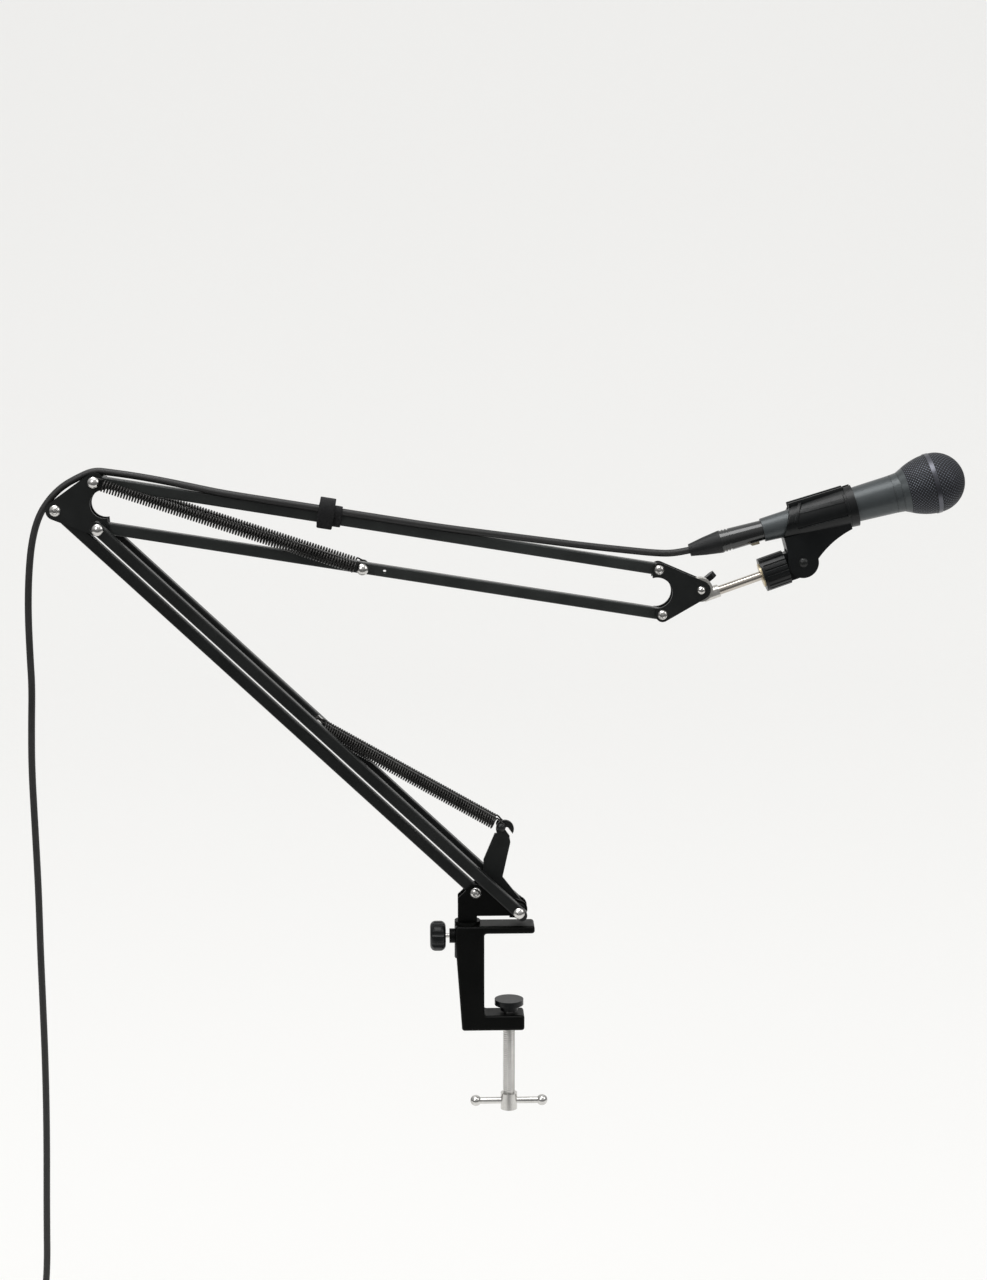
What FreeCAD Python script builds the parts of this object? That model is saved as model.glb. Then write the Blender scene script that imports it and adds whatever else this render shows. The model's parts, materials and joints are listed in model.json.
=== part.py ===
import FreeCAD, Part
import math
import os

# Spring-balanced desk boom arm with its microphone, clip and cable.
# Millimetres and degrees. X runs along the arm, Y to the back, Z up.
# The origin is the centre of the underside of the clamp's top jaw.

Vec = FreeCAD.Vector
ORIGIN = Vec(0, 0, 0)
ALONG_X = Vec(1, 0, 0)
ALONG_Y = Vec(0, 1, 0)
ALONG_Z = Vec(0, 0, 1)
os.makedirs("parts", exist_ok=True)

# Clearances
overrun = 2.0
running_clearance = 0.05
fit_clearance = 0.02
side_clearance = 0.3

# Linkage
lower_arm_length = 500.0
upper_arm_length = 495.0
lower_arm_rise = 43.5
upper_arm_drop = 9.2
link_spacing = 40.8
link_slope = 21.2
bar_spacing = 39.9
bar_lean = 4.8
head_reach = 37.0
head_fall = 18.1

# Square tubes of the arms
bar_width = 10.0
bar_depth = 10.0
bar_wall = 1.2
bar_corner = 1.5
bar_overhang = 3.0

# Plates, rivets and bushes
plate_thickness = 2.0
elbow_lobe = 8.0
elbow_notch_offset = 6.4
elbow_notch_radius = 12.4
head_lobe = 6.3
head_tip_lobe = 8.2
head_notch_offset = 3.6
head_notch_radius = 13.6
pin_radius = 3.0
rivet_head_radius = 5.0
rivet_head_height = 2.6
head_rivet_radius = 4.4
bush_length = 4.7
bush_radius = 6.0

# Clamp
jaw_reach = 45.0
jaw_depth = 26.0
jaw_thickness = 7.0
jaw_opening = 76.0
lower_jaw_reach = 36.0
lower_jaw_thickness = 14.0
post_width = 26.0
post_taper = 6.0
clamp_rounding = 2.5
boss_radius = 11.5
boss_rise = 3.0
boss_depth = 34.0
swivel_inset = 14.9
swivel_radius = 6.0
swivel_length = 31.0
lock_boss_radius = 6.5
lock_boss_length = 5.0
lock_drop = 4.5
lock_radius = 2.0
lock_stud_gap = 3.3
lock_knob_radius = 13.5
lock_knob_length = 14.0
lock_knob_rounding = 5.0
lock_knob_flutes = 8
lock_flute_radius = 4.0
lock_flute_depth = 1.6
lock_stud_grip = 8.0
screw_radius = 5.0
screw_boss_radius = 11.0
screw_travel = 60.0
screw_head_radius = 7.5
screw_head_length = 15.0
screw_seat_depth = 2.5
pad_radius = 13.0
pad_thickness = 5.0
pad_collar_radius = 8.0
pad_collar_length = 5.0
pad_rest_gap = 2.0
handle_radius = 3.0
handle_length = 60.0
handle_ball_radius = 5.0

# Base bracket and spring anchor
foot_width = 17.0
foot_height = 15.7
foot_corner = 2.0
link_pivot_offset = 7.4
link_pivot_height = 26.4
bracket_lift = 5.2
bracket_back_height = 21.0
base_lobe = 8.0
anchor_thickness = 3.0
anchor_pin_left = 15.5
anchor_pin_height = 75.2
anchor_pin_radius = 2.5
anchor_pin_reach = 9.6
anchor_pin_head = 3.6
anchor_pin_head_length = 1.6
anchor_neck_width = 14.0
anchor_neck_drop = 7.2
anchor_bend_drop = 15.2
anchor_foot_width = 18.0
anchor_foot_left = 12.5
anchor_shoulder_drop = 31.2
anchor_shoulder_left = 15.5
anchor_waist_drop = 47.2
anchor_waist_right = 1.5
hook_outer = 8.0
hook_slot_width = 3.4
hook_slot_length = 7.0
hook_slot_tilt = 55.0
hook_center_right = 3.6
hook_center_up = -3.2

# Springs
spring_diameter = 11.0
spring_wire = 1.6
spring_turns = 24
spring_lead = 11.0
spring_loop_clearance = 0.2
lower_spring_offset = 6.4
upper_spring_offset = 13.0
lower_bolt_place = 245.0
upper_bolt_place = 229.5
bolt_spare_hole = 19.3
spare_hole_radius = 1.6
sleeve_radius = 4.2
nut_corner_radius = 5.6
nut_height = 4.0
bolt_end = 2.0

# Head joint and threaded stud
knuckle_radius = 10.5
knuckle_neck_radius = 5.6
knuckle_neck_reach = 15.0
stud_drop = 6.6
stud_rise = 19.5
stud_radius = 4.0
stud_socket = 6.0
stud_grip = 14.0
bolt_head_radius = 3.9
bolt_head_height = 2.8
wing_hub_radius = 5.5
wing_hub_length = 8.0
wing_reach = 18.5
wing_height = 9.0
wing_thickness = 5.0
wing_turn = 40.0

# Microphone clip
clip_pivot_reach = 91.8
clip_base_radius = 15.0
clip_base_length = 22.5
clip_base_gap = 14.2
clip_ribs = 20
clip_rib_radius = 1.0
clip_rib_margin = 2.5
clip_tongue_depth = 12.0
clip_tongue_radius = 12.5
clip_ear_radius = 13.5
clip_ear_thickness = 4.5
clip_slot_margin = 0.8
clip_swing_radius = 18.0
clip_swing_back = 68.0
clip_swing_down = 105.0
clip_screw_radius = 2.5
clip_screw_head_radius = 4.2
clip_screw_head_height = 2.2
insert_radius = 8.0
insert_length = 15.0
insert_flange_radius = 10.5
insert_flange_thickness = 1.2
holder_wall = 2.6
holder_front = 83.0
holder_rear_top = 27.0
holder_rear_bottom = 15.5
holder_slot = 7.0
holder_ring_length = 7.0
holder_ring_rise = 0.9
holder_rib_rise = 0.8
holder_rib_width = 3.0
neck_front_reach = 48.5
neck_front_drop = 18.5
neck_mid_reach = 28.2
neck_mid_drop = 25.8

# Microphone
mic_tilt = 15.3
mic_pivot_behind = 26.6
mic_pivot_below = 35.8
mic_tail_radius = 10.35
mic_grip_start = 27.7
mic_grip_radius = 11.8
mic_waist_place = 81.7
mic_waist_radius = 15.25
mic_groove_place = 117.4
mic_groove_radius = 16.8
mic_collar_place = 124.7
mic_collar_radius = 17.5
mic_rim_place = 130.0
mic_rim_radius = 20.0
mic_groove_depth = 0.4
mic_groove_width = 0.7
mic_wall = 2.0
mic_tail_bore = 8.1
mic_tail_bore_depth = 22.0
mic_shelf_place = 106.0
mic_shelf_bore = 9.0
mic_front_bore = 14.2
grille_bulge_place = 140.4
grille_bulge_radius = 24.2
grille_wall = 1.1
band_place = 151.6
band_length = 3.8
band_radius = 26.3
band_rise = 0.5
mic_length = 182.0
capsule_radius = 14.0
capsule_length = 38.0
connector_length = 6.0
connector_pin_radius = 1.25
connector_pin_circle = 4.6
connector_pin_length = 13.0

# Cable and its plugs
cable_diameter = 6.2
plug_length = 66.0
plug_boot_length = 28.0
plug_boot_end_radius = 5.4
plug_boot_waist_radius = 7.9
plug_boot_waist_share = 0.47
plug_radius = 10.0
plug_front_radius = 8.9
plug_ring_depth = 0.6
plug_ring_width = 1.4
plug_rings = 3
plug_nose_length = 14.0
plug_pin_clearance = 0.35
latch_length = 10.0
latch_width = 4.0
latch_inner = 6.2
latch_rise = 1.9
latch_travel = 1.2
tie_place = 202.0
tie_width = 17.4
tie_wall = 3.0
tie_side_wall = 2.0
tie_corner = 3.0
coil_outer_radius = 40.0
coil_pitch = 6.8
coil_turns_per_pass = 2.03125
coil_passes = 4
coil_climb = 0.25
coil_start_angle = 45.0
coil_lead_run = 34.0
coil_tail = 36.0
coil_tie_width = 16.0
coil_tie_turn = 90.0
coil_tie_wall = 2.0
far_sleeve_length = 22.0
far_sleeve_wall = 1.2

# Route of the cable along the top bar: distance from the elbow rivet, height over the bar's middle.
bar_route = [(503.5, 14.2), (477.0, 12.5), (446.0, 10.9), (399.0, 9.2), (352.0, 8.6),
             (289.0, 8.5), (215.0, 8.5), (129.0, 8.6), (80.0, 10.0), (49.0, 10.6)]

# Route of the hanging cable: X and Z.
hang_route = [(-334.8, 413.0), (-362.6, 415.4), (-386.6, 403.6), (-404.4, 384.3), (-412.7, 355.1),
              (-416.4, 316.8), (-415.8, 266.5), (-415.2, 200.7), (-416.3, 130.1), (-415.6, 54.7),
              (-414.8, -23.7), (-415.3, -105.2), (-417.0, -187.7), (-420.2, -262.6), (-421.4, -322.1)]
coil_center = (-428.6, -422.1)


# Places worked out from the sizes

def polar(start, length, angle):
    """The point at this length and angle from start, in the plane of the arm."""
    turn = math.radians(angle)
    return (start[0] + length * math.cos(turn), start[1] + length * math.sin(turn))


def space(point, y=0):
    """A point of the arm's plane, in space."""
    return Vec(point[0], y, point[1])


plate_inner = bar_depth / 2 + side_clearance
plate_outer = plate_inner + plate_thickness
pair_inner = plate_outer + bush_length + side_clearance
pair_outer = pair_inner + bar_depth
spring_radius = (spring_diameter - spring_wire) / 2
cable_radius = cable_diameter / 2

jaw_tip = jaw_reach / 2
throat = -jaw_reach / 2
boss_top = jaw_thickness + boss_rise
swivel_x = throat - swivel_inset
foot_base = boss_top + side_clearance
base_link = (swivel_x + link_pivot_offset, boss_top + link_pivot_height)
base_arm = polar(base_link, link_spacing, -link_slope)
lower_direction = 180.0 - lower_arm_rise
elbow_arm = polar(base_arm, lower_arm_length, lower_direction)
elbow_link = polar(base_link, lower_arm_length, lower_direction)
elbow_top = polar(elbow_arm, bar_spacing, 90.0 + bar_lean)
head_top = polar(elbow_top, upper_arm_length, -upper_arm_drop)
head_bottom = polar(elbow_arm, upper_arm_length, -upper_arm_drop)
head_tip = (head_top[0] + head_reach, head_top[1] - head_fall)
lower_bolt = polar(base_arm, lower_bolt_place, lower_direction)
upper_bolt = polar(elbow_arm, upper_bolt_place, -upper_arm_drop)
anchor_point = (base_arm[0] - anchor_pin_left, base_arm[1] + anchor_pin_height)
stud_foot = polar(head_tip, stud_drop, stud_rise - 90.0)
clip_pivot = polar(stud_foot, clip_pivot_reach, stud_rise)
mic_tail = polar(polar(clip_pivot, -mic_pivot_behind, mic_tilt), mic_pivot_below, mic_tilt + 90.0)


# Drawing and solids

def closed_wire(items, to_space):
    """A closed wire through 2-D points; four numbers are an arc through the first two to the last two."""
    edges = []
    here = to_space(items[0][0], items[0][1])
    for item in items[1:] + items[:1]:
        there = to_space(item[-2], item[-1])
        if len(item) == 4:
            edges.append(Part.Arc(here, to_space(item[0], item[1]), there).toShape())
        elif (there - here).Length > fit_clearance:
            edges.append(Part.makeLine(here, there))
        here = there
    return Part.Wire(edges)


def prism(items, y_from, y_to):
    """An outline of X and Z, drawn through from one Y to the other."""
    wire = closed_wire(items, lambda x, z: Vec(x, y_from, z))
    return Part.Face(wire).extrude(Vec(0, y_to - y_from, 0))


def turned(items, axis=ALONG_X, side=ALONG_Z):
    """A profile of distance along the axis and radius, turned about the axis."""
    wire = closed_wire(items, lambda s, r: axis * s + side * r)
    return Part.Face(wire).revolve(ORIGIN, axis, 360)


def ring_around(outer, inner, length):
    """A tube along X from the origin."""
    return turned([(0, inner), (0, outer), (length, outer), (length, inner)])


def cross_rod(point, radius, y_from, y_to):
    """A round rod across the arm at this point of its plane."""
    return Part.makeCylinder(radius, y_to - y_from, space(point, y_from), ALONG_Y)


def settle(shape, place, rise):
    """A shape drawn along X from the origin, turned up by an angle and moved to a point of the arm's plane."""
    moved = shape.copy()
    moved.rotate(ORIGIN, ALONG_Y, -rise)
    moved.translate(space(place))
    return moved


def mirrored(shape):
    """The same shape on the other side of the arm's middle plane."""
    return shape.mirror(ORIGIN, ALONG_Y)


def hull(circles):
    """The outline, as items of a closed wire, that tangents draw around circles given anticlockwise."""
    normals = []
    for (center, radius), (after, after_radius) in zip(circles, circles[1:] + circles[:1]):
        across = (after[0] - center[0], after[1] - center[1])
        lean = math.asin((radius - after_radius) / math.hypot(*across))
        normals.append(math.degrees(math.atan2(across[1], across[0]) + lean) - 90.0)
    items = []
    for index, (center, radius) in enumerate(circles):
        first = normals[index - 1]
        last = first + (normals[index] - first) % 360.0
        items.append(polar(center, radius, first))
        items.append(polar(center, radius, (first + last) / 2) + polar(center, radius, last))
    return items


def dome(radius, height, start):
    """The profile of a domed head on the Y axis, from its flat seat at start."""
    sphere = (radius ** 2 + height ** 2) / (2 * height)
    half = math.asin(radius / sphere) / 2
    middle = (start + height - sphere * (1 - math.cos(half)), sphere * math.sin(half))
    return [(start, 0), (start, radius), middle + (start + height, 0)]


def rivet(point, reach, shank=pin_radius, head=rivet_head_radius, height=rivet_head_height):
    """A rivet across the arm whose two domed heads seat at reach on either side."""
    cap = turned(dome(head, height, reach), ALONG_Y, ALONG_X)
    cap.translate(space(point))
    body = cross_rod(point, shank, -reach, reach)
    return body.fuse([cap, mirrored(cap)]).removeSplitter()


def bore(shape, point, radius):
    """The shape with a round hole right across it."""
    box = shape.BoundBox
    return shape.cut(cross_rod(point, radius, box.YMin - overrun, box.YMax + overrun))


def both_sides(shape):
    """Two like pieces, one on each side of the arm."""
    return Part.makeCompound([shape, mirrored(shape)])


def washer(point, inner, outer, y_from, y_to):
    """A bush or sleeve across the arm."""
    return cross_rod(point, outer, y_from, y_to).cut(
        cross_rod(point, inner, y_from - overrun, y_to + overrun))


def rounded_box(y_half, z_low, z_high, corner, length):
    """A bar along X with a rounded rectangle for its section, centred on its length."""
    left, right = -y_half, y_half
    bend = corner * (1 - math.sqrt(0.5))
    items = [(left + corner, z_low), (right - corner, z_low),
             (right - bend, z_low + bend, right, z_low + corner), (right, z_high - corner),
             (right - bend, z_high - bend, right - corner, z_high), (left + corner, z_high),
             (left + bend, z_high - bend, left, z_high - corner), (left, z_low + corner),
             (left + bend, z_low + bend, left + corner, z_low)]
    wire = closed_wire(items, lambda y, z: Vec(-length / 2, y, z))
    return Part.Face(wire).extrude(Vec(length, 0, 0))


def square_tube(start, finish, overhang, holes):
    """A square tube in the middle plane between two pivots, with round ends and holes at these points."""
    span = math.hypot(finish[0] - start[0], finish[1] - start[1])
    rise = math.degrees(math.atan2(finish[1] - start[1], finish[0] - start[0]))
    half = bar_width / 2
    length = span + 2 * (overhang + half)
    outside = rounded_box(bar_depth / 2, -half, half, bar_corner, length)
    inside = rounded_box(bar_depth / 2 - bar_wall, bar_wall - half, half - bar_wall,
                         bar_corner - bar_wall / 2, length + overrun)
    reach = length / 2 - half
    ends = prism(hull([((-reach, 0), half), ((reach, 0), half)]), -bar_depth, bar_depth)
    tube = outside.common(ends).cut(inside)
    tube = settle(tube, ((start[0] + finish[0]) / 2, (start[1] + finish[1]) / 2), rise)
    for point, radius in holes:
        tube = bore(tube, point, radius)
    return tube


def arc_between(start, heading, finish):
    """The edge that leaves start along heading and ends at finish: an arc, or a line where they are in line."""
    chord = finish - start
    along = Vec(chord).normalize()
    off = heading - along * heading.dot(along)
    if off.Length < fit_clearance / 2:
        return Part.makeLine(start, finish)
    half_turn = math.atan2(off.Length, heading.dot(along)) / 2
    sagitta = chord.Length / 2 * math.tan(half_turn)
    middle = start + chord / 2 + off.normalize() * sagitta
    return Part.Arc(start, middle, finish).toShape()


def biarc(start, heading, finish, leaving):
    """Two arcs that join start to finish and keep both headings."""
    chord = finish - start
    total = heading + leaving
    bend = 2 * (1 - heading.dot(leaving))
    lean = chord.dot(total)
    if bend < fit_clearance ** 2:
        reach = chord.dot(chord) / (2 * lean)
    else:
        reach = (math.sqrt(lean ** 2 + bend * chord.dot(chord)) - lean) / bend
    meeting = (start + heading * reach + finish - leaving * reach) / 2
    second = arc_between(finish, leaving * -1, meeting)
    return [arc_between(start, heading, meeting), second]


def joined(stations):
    """One smooth wire through points with headings."""
    edges = []
    for (start, heading), (finish, leaving) in zip(stations, stations[1:]):
        edges += biarc(start, heading, finish, leaving)
    return Part.Wire(Part.__sortEdges__(edges))


def tube_along(path, radius, start, heading):
    """A round tube of this radius along a smooth wire."""
    section = Part.Wire([Part.Circle(start, heading, radius).toShape()])
    shell = Part.BRepOffsetAPI.MakePipeShell(path)
    shell.add(section)
    shell.build()
    shell.makeSolid()
    return Part.Solid(shell.shape())


def least_gap(path, diameter, steps_per_diameter=1.0, apart=4.0):
    """The least gap between a wound tube and itself, measured on points of its middle line."""
    count = int(path.Length / diameter * steps_per_diameter)
    points = path.discretize(Number=count)
    skip = int(apart * steps_per_diameter)
    nearest = min((points[j] - points[i]).Length
                  for i in range(count) for j in range(i + skip, count))
    return nearest - diameter


def wound(name, stations, diameter):
    """A wound tube with its least gap to itself printed."""
    path = joined(stations)
    solid = tube_along(path, diameter / 2, stations[0][0], stations[0][1])
    print(name, "least gap to itself", round(least_gap(path, diameter), 2),
          "length", round(path.Length, 1), "valid", solid.isValid())
    return solid


def corded(name, points, diameter):
    """A cord's tube: straight runs joined by arcs as large as the runs allow. The radii are printed."""
    tangent_share = 0.45
    edges = []
    radii = []
    here = points[0]
    for before, corner, after in zip(points, points[1:], points[2:]):
        come, go = (corner - before), (after - corner)
        setback = tangent_share * min(come.Length, go.Length)
        turn = come.getAngle(go)
        radii.append(setback / math.tan(turn / 2))
        enter = corner - Vec(come).normalize() * setback
        leave = corner + Vec(go).normalize() * setback
        edges.append(Part.LineSegment(here, enter).toShape())
        edges.append(arc_between(enter, Vec(come).normalize(), leave))
        here = leave
    edges.append(Part.LineSegment(here, points[-1]).toShape())
    path = Part.Wire(edges)
    solid = tube_along(path, diameter / 2, points[0], points[1] - points[0])
    section = math.pi * diameter ** 2 / 4
    print(name, "least radius", round(min(radii), 1), "length", round(path.Length, 1),
          "volume share", round(solid.Volume / (section * path.Length), 4), "valid", solid.isValid())
    return solid


pieces = {}


# Clamp

def clamp_frame():
    """The C of the clamp, with the swivel boss, the lock boss and the screw boss."""
    half = jaw_depth / 2
    back = throat - post_width
    lower_top = -jaw_opening
    lower_bottom = lower_top - lower_jaw_thickness
    lower_tip = throat + lower_jaw_reach
    body = prism([(jaw_tip, jaw_thickness), (back, jaw_thickness), (back, -jaw_thickness),
                  (back + post_taper, lower_bottom), (lower_tip, lower_bottom), (lower_tip, lower_top),
                  (throat, lower_top), (throat, 0), (jaw_tip, 0)], -half, half)
    body = body.makeFillet(clamp_rounding, body.Edges)
    boss = Part.makeCylinder(boss_radius, boss_depth, Vec(swivel_x, 0, boss_top - boss_depth))
    lock_boss = Part.makeCylinder(lock_boss_radius, lock_boss_length + clamp_rounding,
                                  Vec(back - lock_boss_length, 0, -lock_drop), ALONG_X)
    screw_boss = Part.makeCylinder(screw_boss_radius, lower_jaw_thickness, Vec(0, 0, lower_bottom))
    body = body.fuse([boss, lock_boss, screw_boss])
    socket = Part.makeCylinder(swivel_radius + running_clearance, swivel_length + overrun,
                               Vec(swivel_x, 0, boss_top - swivel_length))
    lock_hole = Part.makeCylinder(lock_radius + running_clearance, swivel_x - back + lock_boss_length + overrun,
                                  Vec(back - lock_boss_length - overrun, 0, -lock_drop), ALONG_X)
    screw_hole = Part.makeCylinder(screw_radius + running_clearance, lower_jaw_thickness + 2 * overrun,
                                   Vec(0, 0, lower_bottom - overrun))
    return body.cut([socket, lock_hole, screw_hole]).removeSplitter()


def lock_screw():
    """The stud that locks the swivel, and its fluted knob."""
    tip = swivel_x - swivel_radius - side_clearance
    boss_face = throat - post_width - lock_boss_length
    knob_face = boss_face - lock_stud_gap
    stud_length = tip - knob_face + lock_stud_grip
    stud = Part.makeCylinder(lock_radius, stud_length, Vec(tip, 0, -lock_drop), ALONG_X * -1)
    knob = Part.makeCylinder(lock_knob_radius, lock_knob_length, Vec(knob_face, 0, -lock_drop), ALONG_X * -1)
    rims = [edge for edge in knob.Edges if len(edge.Vertexes) == 1]
    knob = knob.makeFillet(lock_knob_rounding, rims)
    circle = lock_knob_radius + lock_flute_radius - lock_flute_depth
    for index in range(lock_knob_flutes):
        turn = 2 * math.pi * (index + 0.5) / lock_knob_flutes
        flute = Part.makeCylinder(lock_flute_radius, lock_knob_length + 2 * overrun,
                                  Vec(knob_face + overrun, circle * math.cos(turn),
                                      circle * math.sin(turn) - lock_drop), ALONG_X * -1)
        knob = knob.cut(flute)
    socket = Part.makeCylinder(lock_radius + fit_clearance, lock_stud_grip + fit_clearance,
                               Vec(knob_face, 0, -lock_drop), ALONG_X * -1)
    return stud, knob.cut(socket)


def clamp_press():
    """The clamp's pad, the screw below it and the cross handle, at the full opening."""
    collar_base = pad_rest_gap - jaw_opening
    pad_base = collar_base + pad_collar_length
    pad_top = pad_base + pad_thickness
    screw_tip = pad_top - screw_seat_depth
    screw_low = -jaw_opening - lower_jaw_thickness - screw_travel - side_clearance - pad_rest_gap
    pad = turned([(collar_base, 0), (collar_base, pad_collar_radius), (pad_base, pad_collar_radius),
                  (pad_base, pad_radius), (pad_top, pad_radius), (pad_top, 0)], ALONG_Z, ALONG_X)
    seat_length = screw_tip + side_clearance - collar_base + overrun
    seat = Part.makeCylinder(screw_radius + running_clearance, seat_length, Vec(0, 0, collar_base - overrun))
    screw = turned([(screw_tip, 0), (screw_tip, screw_radius), (screw_low, screw_radius),
                    (screw_low, screw_head_radius), (screw_low - screw_head_length, screw_head_radius),
                    (screw_low - screw_head_length, 0)], ALONG_Z, ALONG_X)
    cross = Vec(-handle_length / 2, 0, screw_low - screw_head_length / 2)
    hole = Part.makeCylinder(handle_radius + fit_clearance, handle_length, cross, ALONG_X)
    handle = Part.makeCylinder(handle_radius, handle_length, cross, ALONG_X)
    balls = [Part.makeSphere(handle_ball_radius, cross),
             Part.makeSphere(handle_ball_radius, cross + Vec(handle_length, 0, 0))]
    return pad.cut(seat), screw.cut(hole), handle.fuse(balls).removeSplitter()


pieces["clamp_frame"] = clamp_frame()
pieces["lock_stud"], pieces["lock_knob"] = lock_screw()
pieces["clamp_pad"], pieces["clamp_screw"], pieces["clamp_handle"] = clamp_press()


# Base bracket

def swivel_post():
    """The pin that turns in the clamp's boss, with the block between the base plates."""
    pin = Part.makeCylinder(swivel_radius, swivel_length - side_clearance,
                            Vec(swivel_x, 0, foot_base - swivel_length + side_clearance))
    block = Part.makeBox(foot_width, 2 * plate_inner, foot_height,
                         Vec(swivel_x - foot_width / 2, -plate_inner, foot_base))
    return pin.fuse(block).removeSplitter()


def base_plate():
    """The front base plate: a foot beside the block and an arm out to the two pivots."""
    left = swivel_x - foot_width / 2
    right = swivel_x + foot_width / 2
    low = foot_base + foot_corner
    foot = hull([((left + foot_corner, low), foot_corner), ((right - foot_corner, low), foot_corner),
                 ((right - foot_corner, base_link[1]), foot_corner),
                 ((left + foot_corner, foot_base + bracket_back_height), foot_corner)])
    arm = hull([((left + foot_corner, low + bracket_lift), foot_corner), (base_arm, base_lobe),
                (base_link, base_lobe), ((left + foot_corner, foot_base + bracket_back_height), foot_corner)])
    plate = prism(foot, -plate_outer, -plate_inner).fuse(prism(arm, -plate_outer, -plate_inner))
    under = prism([(right, foot_base - overrun), (base_arm[0] - base_lobe, foot_base - overrun),
                   (base_arm[0] - base_lobe, foot_base + bracket_lift), (right, foot_base + bracket_lift)],
                  -plate_outer - overrun, -plate_inner + overrun)
    plate = plate.cut(under).removeSplitter()
    plate = bore(plate, base_link, pin_radius + fit_clearance)
    return bore(plate, base_arm, pin_radius + fit_clearance)


def anchor_outline():
    """The anchor plate from its foot at the arm pivot up to the neck below the hook."""
    neck_left = anchor_point[0] - anchor_neck_width / 2
    neck_right = anchor_point[0] + anchor_neck_width / 2
    foot_low = base_arm[1] - base_lobe + side_clearance
    return [(anchor_point[0] - anchor_foot_left, foot_low),
            (base_arm[0], foot_low),
            (base_arm[0] + base_lobe - side_clearance, base_arm[1]),
            (anchor_point[0] + anchor_waist_right, anchor_point[1] - anchor_waist_drop),
            (neck_right + anchor_waist_right, anchor_point[1] - anchor_bend_drop),
            (neck_right, anchor_point[1] - anchor_neck_drop),
            (neck_left + anchor_waist_right, anchor_point[1] - anchor_neck_drop),
            (anchor_point[0] - anchor_shoulder_left, anchor_point[1] - anchor_shoulder_drop),
            (anchor_point[0] - anchor_shoulder_left, anchor_point[1] - anchor_waist_drop)]


def anchor_plate():
    """The upright plate with the open hook that holds the lower springs."""
    half = anchor_thickness / 2
    plate = prism(anchor_outline(), -half, half)
    eye = (anchor_point[0] + hook_center_right, anchor_point[1] + hook_center_up)
    plate = plate.fuse(cross_rod(eye, hook_outer, -half, half)).removeSplitter()
    slot_start = polar(eye, hook_slot_width / 2, 0)
    slot_end = polar(slot_start, hook_slot_length + hook_outer, -hook_slot_tilt)
    slot = hull([(slot_start, hook_slot_width / 2), (slot_end, hook_slot_width / 2)])
    plate = plate.cut(prism(slot, -half - overrun, half + overrun))
    plate = bore(plate, base_arm, pin_radius + fit_clearance)
    return bore(plate, anchor_point, anchor_pin_radius + fit_clearance)


def anchor_filler():
    """The block that fills the room between the anchor plate and the front base plate."""
    left = base_arm[0] - anchor_foot_width
    outline = hull([((left, base_arm[1]), base_lobe - foot_corner), (base_arm, base_lobe - foot_corner)])
    block = prism(outline, -plate_inner, -anchor_thickness / 2)
    return bore(block, base_arm, pin_radius + fit_clearance)


def anchor_pin():
    """The pin across the hook's neck that carries the lower spring loops."""
    head = anchor_pin_reach + anchor_pin_head_length
    return rivet(anchor_point, anchor_pin_reach, anchor_pin_radius, anchor_pin_head, head - anchor_pin_reach)


pieces["swivel_post"] = swivel_post()
pieces["base_plate_front"] = base_plate()
pieces["base_plate_back"] = mirrored(pieces["base_plate_front"])
pieces["base_link_pin"] = rivet(base_link, plate_outer)
pieces["base_arm_pin"] = rivet(base_arm, pair_outer + side_clearance)
pieces["base_bushes"] = both_sides(
    washer(base_arm, pin_radius + fit_clearance, bush_radius, -plate_outer - bush_length, -plate_outer))
pieces["anchor_plate"] = anchor_plate()
pieces["anchor_fillers"] = both_sides(anchor_filler())
pieces["anchor_pin"] = anchor_pin()


# Lower arm

pivot_hole = pin_radius + running_clearance
bolt_hole = pin_radius + fit_clearance


def lower_bar():
    """The front bar of the lower arm, outside the plates."""
    bar = square_tube(base_arm, elbow_arm, bar_overhang,
                      [(base_arm, pivot_hole), (elbow_arm, pivot_hole)])
    bar = bar.cut(cross_rod(lower_bolt, bolt_hole, 0, bar_depth))
    bar.translate(Vec(0, -pair_inner - bar_depth / 2, 0))
    return bar


def lower_spring_bolt():
    """The bolt of the lower springs between the two bars, with a nut against the inner wall of each."""
    reach = pair_inner + bar_wall + bolt_end
    rod = cross_rod(lower_bolt, pin_radius, -reach, reach)
    corners = [polar(lower_bolt, nut_corner_radius, lower_direction + 60.0 * index) for index in range(6)]
    nut = prism(corners, -pair_inner, nut_height - pair_inner)
    nut = bore(nut, lower_bolt, pin_radius + fit_clearance)
    return Part.makeCompound([rod, nut, mirrored(nut)])


pieces["lower_bar_front"] = lower_bar()
pieces["lower_bar_back"] = mirrored(pieces["lower_bar_front"])
pieces["lower_spring_bolt"] = lower_spring_bolt()
pieces["lower_link_bar"] = square_tube(base_link, elbow_link, 0,
                                       [(base_link, pivot_hole), (elbow_link, pivot_hole)])


# Elbow

def notched(circles, notch_center, notch_radius):
    """A front plate around circles with a round notch."""
    plate = prism(hull(circles), -plate_outer, -plate_inner)
    plate = plate.cut(cross_rod(notch_center, notch_radius, -plate_outer - overrun, -plate_inner + overrun))
    for center, _ in circles:
        plate = bore(plate, center, pin_radius + fit_clearance)
    return plate


def elbow_plate():
    """The front elbow plate with its three lobes."""
    middle = ((elbow_top[0] + elbow_arm[0]) / 2, (elbow_top[1] + elbow_arm[1]) / 2)
    notch = polar(middle, elbow_notch_offset, bar_lean)
    circles = [(elbow_link, elbow_lobe), (elbow_arm, elbow_lobe), (elbow_top, elbow_lobe)]
    return notched(circles, notch, elbow_notch_radius)


spring_loop_inner = upper_spring_offset - spring_wire / 2 - side_clearance
spring_loop_outer = upper_spring_offset + spring_wire / 2 + 2 * side_clearance

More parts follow.
